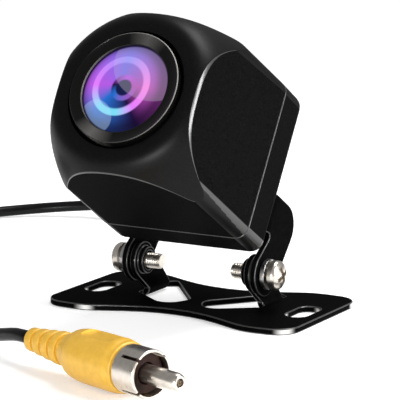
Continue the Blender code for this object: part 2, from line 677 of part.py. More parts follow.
def build_lens_stack(lens, black, glass, rubber, filter_glass):
    bore = GLASS_RADIUS + GAP
    opening = GLASS_RADIUS - GLASS_OVERLAP
    flange_back = NOSE - BEZEL_FLANGE
    edge = BEZEL_LIP / 3
    bezel = [(opening, NOSE - edge), (opening + edge, NOSE), (BEZEL_RADIUS - edge, NOSE),
             (BEZEL_RADIUS, NOSE - edge), (BEZEL_RADIUS, flange_back), (bore + BEZEL_WALL, flange_back),
             (bore + BEZEL_WALL, BARREL_SEAT), (bore, BARREL_SEAT), (bore, NOSE - BEZEL_LIP),
             (opening, NOSE - BEZEL_LIP)]
    add_mesh("lens_bezel", turned(bezel, 46, True), black, lens)
    dome = [(opening * i / 6, GLASS_RIM + GLASS_CROWN * (1 - (i / 6) ** 2)) for i in range(7)]
    hollow = [(opening * i / 4, GLASS_BACK + GLASS_HOLLOW * (1 - (i / 4) ** 2)) for i in range(4, -1, -1)]
    profile = dome + [(GLASS_RADIUS, GLASS_RIM), (GLASS_RADIUS, GLASS_BACK)] + hollow
    add_mesh("cover_glass", turned(profile, 40), glass, lens)
    wire = ORING_WIRE / 2
    middle = GLASS_RADIUS - ORING_WIRE * 2 / 3
    section = [(middle + wire * math.cos(a), ORING_MIDDLE + wire * math.sin(a))
               for a in (2 * math.pi * i / 8 for i in range(8))]
    add_mesh("lens_oring", turned(section, 28, True), rubber, lens)

    second_radius = BARREL_RADIUS - BARREL_WALL - GAP
    second_seat = BARREL_SEAT - BARREL_FLANGE - GAP
    filter_back = BARREL_BACK + GAP
    stop_back = filter_back + FILTER_THICK + GAP
    rear_seat = stop_back + STOP_LENGTH
    rear_bore = REAR_LENS_RADIUS + GAP
    aperture = rear_bore - LEDGE
    front_bore = second_radius + GAP
    barrel = [(rear_bore, BARREL_BACK), (BARREL_RADIUS, BARREL_BACK), (BARREL_RADIUS, BARREL_SEAT),
              (GLASS_RADIUS, BARREL_SEAT), (GLASS_RADIUS, BARREL_FRONT), (middle - ORING_WIRE, BARREL_FRONT),
              (front_bore, BARREL_SEAT), (front_bore, second_seat), (rear_bore, second_seat),
              (rear_bore, rear_seat), (aperture, rear_seat), (aperture, stop_back), (rear_bore, stop_back)]
    add_mesh("lens_barrel", turned(barrel, 28, True), black, lens)
    for name, radius, back, thick in (("second_lens", second_radius, second_seat, SECOND_LENS_EDGE),
                                      ("rear_lens", REAR_LENS_RADIUS, rear_seat, REAR_LENS_EDGE)):
        low = back + GAP
        crown = [(radius * i / 4, low + thick + LENS_CROWN * (1 - (i / 4) ** 2)) for i in range(5)]
        add_mesh(name, turned(crown + [(radius, low), (0, low)], 24), glass, lens)
    pane = rod(REAR_LENS_RADIUS, filter_back, filter_back + FILTER_THICK, 24)
    add_mesh("ir_filter", pane, filter_glass, lens)


def build_electronics(lens, board_green, black, sensor_grey, white, steel, cord_black):
    corner = CAVITY_RADIUS - BOARD_CLEAR
    board_half = (BOARD_CHAMFER + math.sqrt(2 * corner ** 2 - BOARD_CHAMFER ** 2)) / 2
    holder_half = board_half - BOARD_CHAMFER / 2
    screw_at = holder_half - SMALL_HEAD_RADIUS - GAP
    board = add_mesh("circuit_board", prism(octagon(board_half, BOARD_CHAMFER), BOARD_BACK, BOARD_FRONT),
                     board_green, lens)
    holder = add_mesh("lens_holder", prism(octagon(holder_half, BOARD_CHAMFER), HOLDER_BACK, HOLDER_FLOOR),
                      black, lens)
    guide = BARREL_RADIUS + GAP
    tower = [(guide, HOLDER_BACK + GAP), (guide + HOLDER_WALL, HOLDER_BACK + GAP),
             (guide + HOLDER_WALL, CEILING - 2 * GAP), (guide, CEILING - 2 * GAP)]
    shape(holder, add_mesh("holder_tower", turned(tower, 32, True), None, lens), "UNION")
    well = SENSOR_SIZE / math.sqrt(2) + 2 * GAP
    shape(holder, add_mesh("sensor_well", rod(well, 0, CEILING, 24), None, lens))
    for side, tag in ((-1, "lower"), (1, "upper")):
        place = (side * screw_at, side * screw_at, 0)
        tip = HOLDER_FLOOR - 2 * GAP
        drill = add_mesh(f"board_hole_{tag}", rod(SMALL_HOLE, 0, tip, 16), None, lens, place)
        shape(board, drill)
        shape(holder, drill)
        seat = BOARD_BACK - GAP
        add_mesh(f"board_screw_{tag}", small_screw(tip - GAP - seat), steel, lens,
                 (place[0], place[1], seat), (math.pi, 0, 0))
    sensor = block((SENSOR_SIZE, SENSOR_SIZE, SENSOR_THICK), (0, 0, BOARD_FRONT + GAP + SENSOR_THICK / 2))
    add_mesh("image_sensor", sensor, sensor_grey, lens)
    plug_top = BOARD_BACK - GAP
    connector = block(PLUG_BLOCK, (0, GLAND_RISE, plug_top - PLUG_BLOCK[2] / 2))
    add_mesh("board_connector", connector, white, lens)
    lead_top = plug_top - PLUG_BLOCK[2] - GAP
    gland_top = -COVER_DEPTH + COVER_WALL + GAP + GLAND_INNER
    add_mesh("inner_lead", rod(CORD / 2, gland_top + GAP, lead_top, 16), cord_black, lens,
             (0, GLAND_RISE, 0))


def build_gland(lens, rubber):
    """Moulded strain relief: a flange inside the cover, a neck through it and a ribbed tail."""
    inside = -COVER_DEPTH + COVER_WALL + GAP
    outside = -COVER_DEPTH - GAP
    collar = outside - GLAND_COLLAR
    tail = -COVER_DEPTH - GLAND_LENGTH
    profile = [(0, inside + GLAND_INNER), (GLAND_FLANGE, inside + GLAND_INNER), (GLAND_FLANGE, inside),
               (GLAND_NECK, inside), (GLAND_NECK, outside), (GLAND_FLANGE, outside), (GLAND_FLANGE, collar)]
    pitch = (collar - tail) / GLAND_RIBS
    for k in range(GLAND_RIBS):
        top = collar - k * pitch
        width = GLAND_NECK + (GLAND_TIP - GLAND_NECK) * (k + 1) / GLAND_RIBS
        profile += [(width - GAP, top), (width - GAP, top - GLAND_GROOVE), (width + GAP, top - GLAND_GROOVE),
                    (width + GAP, top - pitch)]
    add_mesh("cable_gland", turned(profile + [(0, tail)], 20), rubber, lens, (0, GLAND_RISE, 0))
    start = lens.matrix_world @ Vector((0, GLAND_RISE, tail - GAP))
    leaving = lens.matrix_world.to_3x3() @ Vector((0, 0, -1))
    return start, leaving


def build_cover_screws(lens, steel):
    for name, sx, sy in CORNERS:
        add_mesh(f"cover_screw_{name}", small_screw(COVER_SCREW_BITE - COVER_SCREW_SEAT), steel, lens,
                 (sx * COVER_SCREW, sy * COVER_SCREW, COVER_SCREW_SEAT), (math.pi, 0, 0))
    web = COVER_DEPTH + GAP + YOKE_SHEET + GAP
    for side, tag in ((-1, "left"), (1, "right")):
        reach = web - COVER_DEPTH + COVER_WALL - GAP
        add_mesh(f"yoke_screw_{tag}", small_screw(reach), steel, lens,
                 (side * YOKE_SCREW_SPACING / 2, -YOKE_TOP - YOKE_WEB / 2, -web), (math.pi, 0, 0))


def coil_points():
    """Centre line of the stored coil: in on the lower layer, up, and out on the upper one."""
    low = TIE_THICK + TIE_SLACK + CORD / 2
    outer = COIL_MIDDLE + COIL_STEP * COIL_LAYER_TURNS / 2
    inner = outer - COIL_STEP * COIL_LAYER_TURNS
    layer = 2 * math.pi * COIL_LAYER_TURNS
    total = 2 * layer + math.pi
    count = round(total / (2 * math.pi) * LOOP_SEGMENTS)
    points = []
    for i in range(count + 1):
        a = total * i / count
        climb = min(1.0, max(0.0, (a - layer) / math.pi))
        travelled = min(a, layer) / layer if a < layer + math.pi else (total - a) / layer
        radius = outer + (inner - outer) * travelled
        z = low + COIL_STEP * climb * climb * (3 - 2 * climb)
        turn = COIL_START + a
        points.append(Vector((COIL_CENTRE[0] + radius * math.cos(turn),
                              COIL_CENTRE[1] + radius * math.sin(turn), z)))
    first = Vector((math.sin(COIL_START), -math.cos(COIL_START), 0)) * CORD
    last_turn = COIL_START + total
    last = Vector((-math.sin(last_turn), math.cos(last_turn), 0)) * CORD
    return [points[0] + first] + points + [points[-1] + last]


def least_gap(points):
    """Least clear distance between the coil's turns, measured on its points."""
    gap = 1.0
    for i, p in enumerate(points):
        for q in points[i + LOOP_SEGMENTS // 2:]:
            gap = min(gap, (p - q).length - CORD)
    return gap


def build_tie(mat):
    half_span = COIL_STEP * COIL_LAYER_TURNS / 2 + CORD / 2 + TIE_SLACK
    height = COIL_STEP + CORD + 2 * TIE_SLACK
    inner = [(x * half_span, TIE_THICK + (y + 1) * height / 2, CORD / 2)
             for x, y in ((1, -1), (1, 1), (-1, 1), (-1, -1))]
    outer = [(x + math.copysign(TIE_THICK, x), y + math.copysign(TIE_THICK, y - height / 2), r + TIE_THICK)
             for x, y, r in inner]
    bm = bmesh.new()
    rings = []
    for outline, y in ((outer, -1), (outer, 1), (inner, 1), (inner, -1)):
        rings.append([bm.verts.new((x, y * TIE_WIDTH / 2, z)) for x, z in rounded(outline, 4)])
    for ring, following in zip(rings, rings[1:] + rings[:1]):
        for i in range(len(ring)):
            j = (i + 1) % len(ring)
            bm.faces.new((ring[i], ring[j], following[j], following[i]))
    place = (COIL_CENTRE[0] + COIL_MIDDLE * math.cos(TIE_ANGLE),
             COIL_CENTRE[1] + COIL_MIDDLE * math.sin(TIE_ANGLE), 0)
    add_mesh("coil_tie", bm, mat, None, place, (0, 0, TIE_ANGLE))


def build_cord(start, leaving, black):
    coil = coil_points()
    print(f"coil least gap to itself: {least_gap(coil) / MM:.2f} mm")
    tube("lead_coil", coil, black, 1)
    into = (coil[1] - coil[0]).normalized()
    out = (coil[-1] - coil[-2]).normalized()
    route = [start, start + leaving * 2 * CORD] + [Vector(p) for p in LEAD_ROUTE]
    route += [coil[0] - into * (2 * CORD + GAP), coil[0] - into * GAP]
    tube("lead", smooth_route(route, 2.5 * CORD), black)
    axis = Vector((math.cos(PLUG_TURN), math.sin(PLUG_TURN), 0))
    tail = Vector((*PLUG_TAIL, PLUG_RADIUS)) - axis * GAP
    route = [coil[-1] + out * GAP, coil[-1] + out * (2 * CORD + GAP)] + [Vector(p) for p in END_ROUTE]
    tube("lead_end", smooth_route(route + [tail - axis * 2 * CORD, tail], 2.5 * CORD), black)


def build_plug(yellow, metal, brown):
    """Moulded phono plug on its side, its own Z from the boot's tail to the pin's tip."""
    frame = add_empty("plug_frame", None, (*PLUG_TAIL, PLUG_RADIUS), (0, math.pi / 2, PLUG_TURN))
    end = BOOT_LENGTH + PLUG_BODY
    profile = [(0, 0)]
    pitch = BOOT_LENGTH / BOOT_RIBS
    for k in range(BOOT_RIBS):
        width = BOOT_TAIL_RADIUS + (BOOT_ROOT_RADIUS - BOOT_TAIL_RADIUS) * k / (BOOT_RIBS - 1)
        groove = (k + 1) * pitch - BOOT_GROOVE
        profile += [(width, k * pitch), (width, groove), (width - BOOT_GROOVE_DEPTH, groove),
                    (width - BOOT_GROOVE_DEPTH, (k + 1) * pitch)]
    profile += [(BOOT_ROOT_RADIUS, BOOT_LENGTH), (SHOULDER_RADIUS, BOOT_LENGTH + PLUG_SHOULDER),
                (PLUG_RADIUS, BOOT_LENGTH + PLUG_SWELL), (PLUG_RADIUS, end - PLUG_SHOULDER),
                (PLUG_FRONT_RADIUS, end - PLUG_EDGE), (PLUG_FRONT_RADIUS - PLUG_EDGE, end), (0, end)]
    body = add_mesh("plug_body", turned(profile, 24), yellow, frame)
    grip = rounded([(x * THUMB_WIDTH / 2, y * THUMB_LENGTH / 2, THUMB_WIDTH / 4)
                    for x, y in ((1, -1), (1, 1), (-1, 1), (-1, -1))])
    middle = end - PLUG_SHOULDER - THUMB_LENGTH / 2
    for side, tag in ((-1, "top"), (1, "under")):
        recess = [[(side * r, x, middle + y) for x, y in grip]
                  for r in (PLUG_RADIUS - THUMB_DEPTH, 2 * PLUG_RADIUS)]
        shape(body, add_mesh(f"thumb_recess_{tag}", loft(recess), None, frame))
    root = end + GAP
    front = root + SHELL_LENGTH
    bore = SHELL_RADIUS - SHELL_WALL
    ring = [(bore, root), (SHELL_RADIUS, root), (SHELL_RADIUS, front), (bore, front)]
    shell = add_mesh("plug_shell", turned(ring, 32, True), metal, frame)
    for k in range(SHELL_SLOTS // 2):
        across = block((3 * SHELL_RADIUS, SHELL_SLOT, 2 * SHELL_SLOT_LENGTH), (0, 0, front))
        turn = Matrix.Rotation(2 * math.pi * (k + 0.5) / SHELL_SLOTS, 4, "Z")
        shape(shell, add_mesh(f"shell_slot_{k}", moved(across, turn), None, frame))
    face = root + INSULATOR_LENGTH
    sleeve = [(PIN_RADIUS + GAP, root), (bore - GAP, root), (bore - GAP, face), (PIN_RADIUS + GAP, face)]
    add_mesh("plug_insulator", turned(sleeve, 24, True), brown, frame)
    tip = front + PIN_REACH
    pin = [(0, root), (PIN_RADIUS, root), (PIN_RADIUS, tip - PIN_NOSE),
           (PIN_RADIUS - GAP / 2, tip - PIN_NOSE / 2), (PIN_BORE + GAP, tip), (PIN_BORE, tip),
           (PIN_BORE, tip - PIN_BORE_DEPTH), (0, tip - PIN_BORE_DEPTH)]
    add_mesh("plug_pin", turned(pin, 24), metal, frame)


def build():
    clear_scene()
    matt_black = material("matt_black_housing", (0.018, 0.018, 0.020), 0.62)
    gloss_black = material("gloss_black_bezel", (0.008, 0.008, 0.010), 0.18)
    black_paint = material("black_paint", (0.016, 0.016, 0.018), 0.35, 0.1)
    nickel = material("nickel_steel", (0.78, 0.78, 0.80), 0.18, 1.0)
    spring = material("spring_steel", (0.62, 0.62, 0.65), 0.25, 1.0)
    coated_glass = material("coated_glass", (0.10, 0.07, 0.30), 0.03)
    filter_glass = material("filter_glass", (0.30, 0.55, 0.60), 0.05)
    rubber = material("black_rubber", (0.02, 0.02, 0.02), 0.7)
    board_green = material("board_green", (0.02, 0.16, 0.06), 0.45)
    sensor_grey = material("sensor_grey", (0.12, 0.12, 0.15), 0.25)
    white = material("white_plastic", (0.75, 0.74, 0.70), 0.5)
    cord_black = material("black_cord", (0.02, 0.02, 0.022), 0.5)
    yellow = material("yellow_plug", (0.85, 0.62, 0.02), 0.4)
    brown = material("brown_insulator", (0.06, 0.03, 0.02), 0.5)

    build_base_plate(black_paint)
    build_hinge_screws(nickel, spring)
    camera = add_empty("camera_frame", None, (0, PIVOT_Y, PIVOT_HEIGHT), (-TILT, 0, 0))
    lens = add_empty("lens_frame", camera, (0, -PIVOT_BACK, PIVOT_DROP), (math.pi / 2, 0, 0))
    bpy.context.view_layer.update()
    build_front_housing(lens, matt_black, rubber)
    build_rear_cover(lens, matt_black)
    build_cover_screws(lens, spring)
    build_yoke(lens, black_paint)
    build_lens_stack(lens, gloss_black, coated_glass, rubber, filter_glass)
    build_electronics(lens, board_green, matt_black, sensor_grey, white, spring, cord_black)
    start, leaving = build_gland(lens, rubber)
    build_cord(start, leaving, cord_black)
    build_tie(matt_black)
    build_plug(yellow, nickel, brown)


build()
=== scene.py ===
"""Looks of the backup camera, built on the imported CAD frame. Metres, in the same frame as the CAD part."""
import math

import bmesh
import bpy
from mathutils import Matrix, Vector


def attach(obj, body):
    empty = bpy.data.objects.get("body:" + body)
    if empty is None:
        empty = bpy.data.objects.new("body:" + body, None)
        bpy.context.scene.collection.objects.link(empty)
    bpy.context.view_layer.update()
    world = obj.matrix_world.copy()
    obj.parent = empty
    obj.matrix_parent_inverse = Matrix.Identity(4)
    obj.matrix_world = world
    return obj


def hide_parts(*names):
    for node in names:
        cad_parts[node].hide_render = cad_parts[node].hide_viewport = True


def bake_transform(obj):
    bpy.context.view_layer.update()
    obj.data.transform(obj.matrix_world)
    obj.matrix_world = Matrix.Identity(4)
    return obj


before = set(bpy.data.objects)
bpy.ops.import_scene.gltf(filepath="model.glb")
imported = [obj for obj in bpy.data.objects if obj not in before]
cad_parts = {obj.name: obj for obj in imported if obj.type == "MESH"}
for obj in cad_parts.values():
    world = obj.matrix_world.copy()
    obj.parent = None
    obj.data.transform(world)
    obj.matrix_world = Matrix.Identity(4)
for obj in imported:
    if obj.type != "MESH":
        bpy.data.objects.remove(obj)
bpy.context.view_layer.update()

MM = 0.001
GAP = 0.3 * MM

# Camera of the photograph: a long lens, 225 mm on a 36 mm sensor
CAMERA_LENS = 225.0
CAMERA_SENSOR = 36.0
CAMERA_CLIP = (0.01, 20.0)
CAMERA_PLACE = (0.22763, -0.40268, 0.10936)
CAMERA_AZIMUTH = math.radians(29.504)
CAMERA_ELEVATION = math.radians(10.907)

# Stage: the floor's glow grows from near to far. Each lamp has a place, a size and a power.
FLOOR_REACH = 3.0
FLOOR_NEAR = 0.12
FLOOR_FAR = 0.40
GLOW_NEAR = 0.5
GLOW_GAIN = 0.45
WORLD_GREY = 0.3
LAMP_AIM = Vector((0, -0.01, 0.03))
LAMPS = {
    "overhead": ((0.10, 0.22, 0.60), (0.34, 0.26), 2.5),
    "side_right": ((0.46, 0.03, 0.16), (0.12, 0.30), 2.4),
    "front_low": ((0.12, -0.60, 0.02), (0.16, 0.03), 2.2),
}

# Sizes repeated from the part
PIVOT = Vector((0, -1.3 * MM, 7.8 * MM))
TILT = math.radians(32.0)
HALF = 15.75 * MM
EDGE_RADIUS = 2.4 * MM
SIDE_LEAN = 1.35 * MM
NOSE = 29.2 * MM
LIP = NOSE - 0.9 * MM
LIP_RADIUS = 13.0 * MM
DOME_DEPTH = 16.8 * MM
DOME_OVERRUN = 0.9 * MM
DOME_HANDLE_FRONT = 2.8 * MM
DOME_HANDLE_SIDE = 13.5 * MM
DOME_HANDLE_IN = 3.8 * MM
COVER_DEPTH = 8.4 * MM
PIVOT_BACK = COVER_DEPTH + 4.95 * MM
PIVOT_DROP = HALF + 1.86 * MM
CAVITY_RADIUS = HALF - 2.35 * MM
CEILING = 16.65 * MM
BEZEL_RADIUS = 10.75 * MM
BEZEL_FLANGE = 2.0 * MM
BEZEL_MOAT = 0.7 * MM
BEZEL_LIP = 0.7 * MM
BEZEL_BACK = 22.45 * MM
BEZEL_SLEEVE = 10.1 * MM
GLASS_RADIUS = 8.9 * MM
GLASS_OPENING = 8.5 * MM
GLASS_RIM = NOSE - BEZEL_LIP - GAP
GLASS_CROWN = 0.8 * MM
GLASS_EDGE = 1.25 * MM
PLATE_END = 26.4 * MM
PLATE_DEEP = 15.2 * MM
PLATE_LOBE = PLATE_END - 9.6 * MM
PLATE_TIP = PLATE_DEEP - 0.4 * MM
WAIST_HALF = 10.0 * MM
WAIST_RADIUS = 24.0 * MM
LOBE_RADIUS = 4.0 * MM
END_RADIUS = 2.6 * MM
SLOT_PLACE = 21.8 * MM
YOKE_FACE = 14.4 * MM
YOKE_SHEET = 1.2 * MM
WASHER_THICK = 0.9 * MM
SCREW_RADIUS = 1.5 * MM
SCREW_LENGTH = 8.2 * MM
HEAD_RADIUS = 2.8 * MM
HEAD_HEIGHT = 2.4 * MM
SMALL_SCREW_RADIUS = 0.9 * MM
SMALL_HEAD_RADIUS = 1.5 * MM
SMALL_HEAD_HEIGHT = 1.2 * MM
COVER_SCREW = HALF - 3.7 * MM
YOKE_SCREW = (6.5 * MM, -6.7 * MM)
GLAND_RISE = 2.0 * MM
GLAND_TAIL = COVER_DEPTH + 8.6 * MM

# Fine shape of the housing and the bezel, which the part leaves out
ARC_EDGE_SIDE = 0.48 * MM
ARC_EDGE_TOP = 0.22 * MM
ARC_NARROWING = 0.8
ARC_FADE = 0.16
ARC_FLATNESS = 0.75
ARC_STEPS = 8
SEAM_EDGE = 0.15 * MM
SEAM_STEPS = 3
MOUTH_EDGE = 0.12 * MM
BEZEL_RIM = 0.14 * MM
SIDE_RINGS = 30
DOME_RINGS = 26
FLAT_COLUMNS = 28
CORNER_COLUMNS = 28

# The housing's further materials, by slot, and the highlight strip on its lower round edges, in degrees:
# glossy and a little lighter in colour, partly painted highlight
DOME, HIGHLIGHT_STRIP, SOFT, EDGE = 1, 2, 3, 4
STRIP_START = 4.0
STRIP_STOP = 44.0
STRIP_TAPER = 26.0

# Screws: the thread, and shares of a head's size for its shape and its cross recess
THREAD_PITCH = 0.5 * MM
THREAD_DEPTH = 0.16 * MM
THREAD_ROWS = 8
HEAD_SHOULDER = 0.42
HEAD_EDGE = 0.12
HEAD_STEPS = 10
RECESS_REACH = 0.62
RECESS_WIDTH = 0.46
RECESS_DEPTH = 0.55
SMALL_RECESS_DEPTH = 0.5
RECESS_TURN = 0.4
SHANK_OVERLAP = 0.05 * MM
SMALL_SHANK = 2.0 * MM

# Widths of rounded edges
COVER_ROUNDING = 0.15 * MM
PLATE_ROUNDING = 0.2 * MM
YOKE_ROUNDING = 0.18 * MM
SCREW_ROUNDING = 0.06 * MM
SMALL_ROUNDING = 0.05 * MM
WASHER_ROUNDING = 0.12 * MM
TIE_ROUNDING = 0.2 * MM
PLUG_ROUNDING = 0.12 * MM

# Limits: vertices this near and faces this flat are one, and a face with a normal this low is upright
MERGE = 0.002 * MM
FLAT_ANGLE = math.radians(1.0)
UPRIGHT = 0.2

# Rounder corners of the plate than the solid's, and painted glints on its edges: spots of bright bare steel,
# each with its reach
WIDE_LOBE_RADIUS = 12.0 * MM
WIDE_END_RADIUS = 4.6 * MM
CORNER_CUTS = 3
CORNER_SLACK = 0.02 * MM
GLINT_CORNER = 2.4 * MM
GLINT_SLOT = 1.4 * MM
GLINT_SPOTS = (
    (-PLATE_LOBE, -PLATE_DEEP, GLINT_CORNER),
    (PLATE_END - 1.5 * MM, -PLATE_TIP + 1.3 * MM, GLINT_CORNER),
    (PLATE_END, PLATE_TIP - 3.6 * MM, GLINT_SLOT),
    (SLOT_PLACE + 1.1 * MM, 4.3 * MM, GLINT_SLOT),
    (SLOT_PLACE - 2.1 * MM, -3.0 * MM, GLINT_SLOT),
    (-SLOT_PLACE + 1.1 * MM, 4.3 * MM, GLINT_SLOT),
    (-SLOT_PLACE - 2.1 * MM, -3.0 * MM, GLINT_SLOT),
)

# Painted reflections in the lens's coating, in shares of the glass's opening: where each ring starts and
# where it is full
RING_SHIFT = (0.10, -0.05)
SHADE_RING = (0.70, 0.98)
SHADE_SHARE = 0.72
BRIGHT_RING = (0.70, 0.66)
MIDDLE_RING = (0.56, 0.50)
INNER_RING = (0.32, 0.27)
PUPIL = (0.21, 0.16)
DARK_RIM = (0.95, 1.0)

# Hues of the coating's painted reflections, and how they follow each other round the lens: 0 left, 0.25
# below, 0.5 right
VIOLET = (0.75, 0.2, 0.95)
CYAN = (0.2, 0.7, 0.9)
PINK = (0.95, 0.25, 0.8)
BLUE = (0.3, 0.3, 0.95)
PURPLE = (0.45, 0.1, 0.75)
INDIGO = (0.18, 0.16, 0.75)
NAVY = (0.02, 0.15, 0.6)
PLUM = (0.45, 0.07, 0.45)
NIGHT = (0.015, 0.005, 0.05)
BRIGHT_HUES = ((0.0, VIOLET), (0.15, CYAN), (0.27, CYAN), (0.37, VIOLET), (0.5, PINK), (0.75, BLUE),
               (1.0, VIOLET))
DEEP_HUES = ((0.0, PURPLE), (0.14, NAVY), (0.35, NIGHT), (0.5, PLUM), (0.75, INDIGO), (1.0, PURPLE))
INNER_HUES = ((0.0, NIGHT), (0.2, NAVY), (0.5, PLUM), (0.66, PURPLE), (1.0, NIGHT))

# Pale discs in the lens, painted reflections of lamps: place, radius, share and colour, on axes a little
# askew
DISC_ACROSS = (0.935, 0.28)
DISC_UP = (-0.10, 0.987)
DISC_SOFTNESS = 0.012
LAMP_REFLECTION_DISCS = (
    (0.60, 0.55, 0.85, 0.17, (0.62, 0.56, 0.70)),
    (-0.66, -0.61, 0.37, 0.22, (0.55, 0.75, 1.0)),
)

# Cord, its coil and the coil's tie
CORD = 2.3 * MM
ROUTE_STEP = 1.5 * CORD
TIE_THICK = 0.8 * MM
TIE_SLACK = 0.5 * MM
COIL_CENTRE = (-72.0 * MM, -6.0 * MM)
COIL_MIDDLE = 12.6 * MM
COIL_STEP = 3.2 * MM
COIL_LAYER_TURNS = 2.83
COIL_START = math.radians(180.0)
COIL_LOW = TIE_THICK + TIE_SLACK + CORD / 2
LOOP_POINTS = 36

# Ways of the cord to and from the coil, in millimetres
LEAD_ROUTE = (
    (-4.0, 25.5, 14.2),
    (-11.5, 36.5, 10.6),
    (-21.5, 47.0, 8.0),
    (-34.0, 55.5, 6.0),
    (-47.5, 60.5, 4.4),
    (-61.5, 61.5, 2.9),
    (-75.0, 56.0, 1.7),
    (-85.0, 43.5, 1.2),
    (-88.8, 22.0, 1.6),
)
END_ROUTE = (
    (-66.0, -27.5, 3.1),
    (-50.0, -34.5, 1.6),
    (-33.0, -41.0, 1.6),
    (-18.0, -47.0, 2.3),
)

# Plug
PLUG_TAIL = (-2.6 * MM, -54.0 * MM)
PLUG_TURN = math.radians(-19.2)
PLUG_RADIUS = 4.7 * MM
BOOT_LENGTH = 10.2 * MM
BOOT_TAIL_RADIUS = 2.1 * MM
BOOT_ROOT_RADIUS = 2.9 * MM
BOOT_RIBS = 4
BOOT_GROOVE = 0.9 * MM
BOOT_GROOVE_DEPTH = 0.5 * MM
PLUG_BODY = 15.6 * MM
PLUG_SHOULDER = 2.4 * MM
SHOULDER_RADIUS = 4.0 * MM
PLUG_SWELL = 8.0 * MM
PLUG_FRONT_RADIUS = 4.4 * MM
THUMB_WIDTH = 4.6 * MM
THUMB_LENGTH = 8.0 * MM
THUMB_DEPTH = 0.6 * MM
SHELL_RADIUS = 4.15 * MM
SHELL_WALL = 0.45 * MM
SHELL_LENGTH = 5.4 * MM
SHELL_SLOTS = 4
SHELL_SLOT = 0.6 * MM
SHELL_SLOT_LENGTH = 4.0 * MM
INSULATOR_LENGTH = 4.2 * MM
PIN_RADIUS = 1.6 * MM
PIN_REACH = 7.2 * MM
PIN_NOSE = 1.5 * MM
PIN_BORE = 0.75 * MM
PIN_BORE_DEPTH = 3.0 * MM

LENS = (Matrix.Translation(PIVOT) @ Matrix.Rotation(-TILT, 4, "X")
        @ Matrix.Translation((0, -PIVOT_BACK, PIVOT_DROP)) @ Matrix.Rotation(math.pi / 2, 4, "X"))
PLUG = (Matrix.Translation((*PLUG_TAIL, PLUG_RADIUS)) @ Matrix.Rotation(PLUG_TURN, 4, "Z")
        @ Matrix.Rotation(math.pi / 2, 4, "Y"))


# Mesh helpers

def turned(profile, segments=64, closed=False):
    """Turn an (r, z) profile about Z: a closed ring profile, or an open one from axis to axis."""
    bm = bmesh.new()
    rings = []
    for r, z in profile:
        count = 1 if r < 1e-9 else segments
        angles = [2 * math.pi * i / segments for i in range(count)]
        rings.append([bm.verts.new((r * math.cos(a), r * math.sin(a), z)) for a in angles])
    pairs = list(zip(rings, rings[1:]))
    if closed:
        pairs.append((rings[-1], rings[0]))
    for low, high in pairs:
        for i in range(segments):
            j = (i + 1) % segments
            corners = [low[i % len(low)], low[j % len(low)], high[j % len(high)], high[i % len(high)]]
            face = list(dict.fromkeys(corners))
            if len(face) > 2:
                bm.faces.new(face)
    bmesh.ops.recalc_face_normals(bm, faces=bm.faces)
    return bm


def loft(sections):
    """Skin sections that have equal counts of points, and close both ends."""
    bm = bmesh.new()
    rings = [[bm.verts.new(p) for p in section] for section in sections]
    count = len(rings[0])
    for low, high in zip(rings, rings[1:]):
        for i in range(count):
            j = (i + 1) % count
            bm.faces.new((low[i], low[j], high[j], high[i]))
    bm.faces.new(rings[0])
    bm.faces.new(rings[-1])
    bmesh.ops.recalc_face_normals(bm, faces=bm.faces)
    return bm


def block(size, centre, turn=0.0):
    bm = bmesh.new()
    bmesh.ops.create_cube(bm, size=1.0)
    bmesh.ops.scale(bm, vec=size, verts=bm.verts)
    bmesh.ops.translate(bm, vec=centre, verts=bm.verts)
    bmesh.ops.rotate(bm, matrix=Matrix.Rotation(turn, 3, "Z"), verts=bm.verts)
    return bm


def rounded_square(wide, high, radius, steps=8):
    """Outline of a square with round corners."""
    points = []
    for k, (sx, sy) in enumerate(((1, -1), (1, 1), (-1, 1), (-1, -1))):
        for i in range(steps + 1):
            a = math.pi / 2 * (k - 1 + i / steps)
            x = sx * (wide - radius) + radius * math.cos(a)
            y = sy * (high - radius) + radius * math.sin(a)
            points.append((x, y))
    return points


def curve(p0, p1, p2, p3, t):
    """A point on a cubic curve, with t from 0 to 1."""
    s = 1 - t
    weights = (s ** 3, 3 * s * s * t, 3 * s * t * t, t ** 3)
    return tuple(sum(w * p[k] for w, p in zip(weights, (p0, p1, p2, p3))) for k in (0, 1))


def bezier(p0, p1, p2, p3, count):
    return [curve(p0, p1, p2, p3, i / count) for i in range(count + 1)]


def arc(centre, radius, start, stop, count):
    """Points of an arc in the (r, z) plane, angles in degrees."""
    points = []
    for i in range(count + 1):
        a = math.radians(start + (stop - start) * i / count)
        points.append((centre[0] + radius * math.cos(a), centre[1] + radius * math.sin(a)))
    return points


def add_object(name, bm, *mats):
    """A new object with the mesh, which is freed."""
    mesh = bpy.data.meshes.new(name)
    bm.to_mesh(mesh)
    bm.free()
    for mat in mats:
        mesh.materials.append(mat)
    obj = bpy.data.objects.new(name, mesh)
    bpy.context.scene.collection.objects.link(obj)
    return obj


def carved(bm, *steps):
    """The mesh after Boolean steps of (operation, tool mesh)."""
    target = add_object("temporary", bm)
    temporary = [target]
    for operation, tool in steps:
        modifier = target.modifiers.new(operation, "BOOLEAN")
        modifier.operation = operation
        modifier.solver = "EXACT"
        modifier.object = add_object("temporary", tool)
        temporary.append(modifier.object)
    evaluated = target.evaluated_get(bpy.context.evaluated_depsgraph_get())
    result = bmesh.new()
    result.from_mesh(evaluated.to_mesh())
    evaluated.to_mesh_clear()
    for obj in temporary:
        bpy.data.objects.remove(obj, do_unlink=True)
    return result


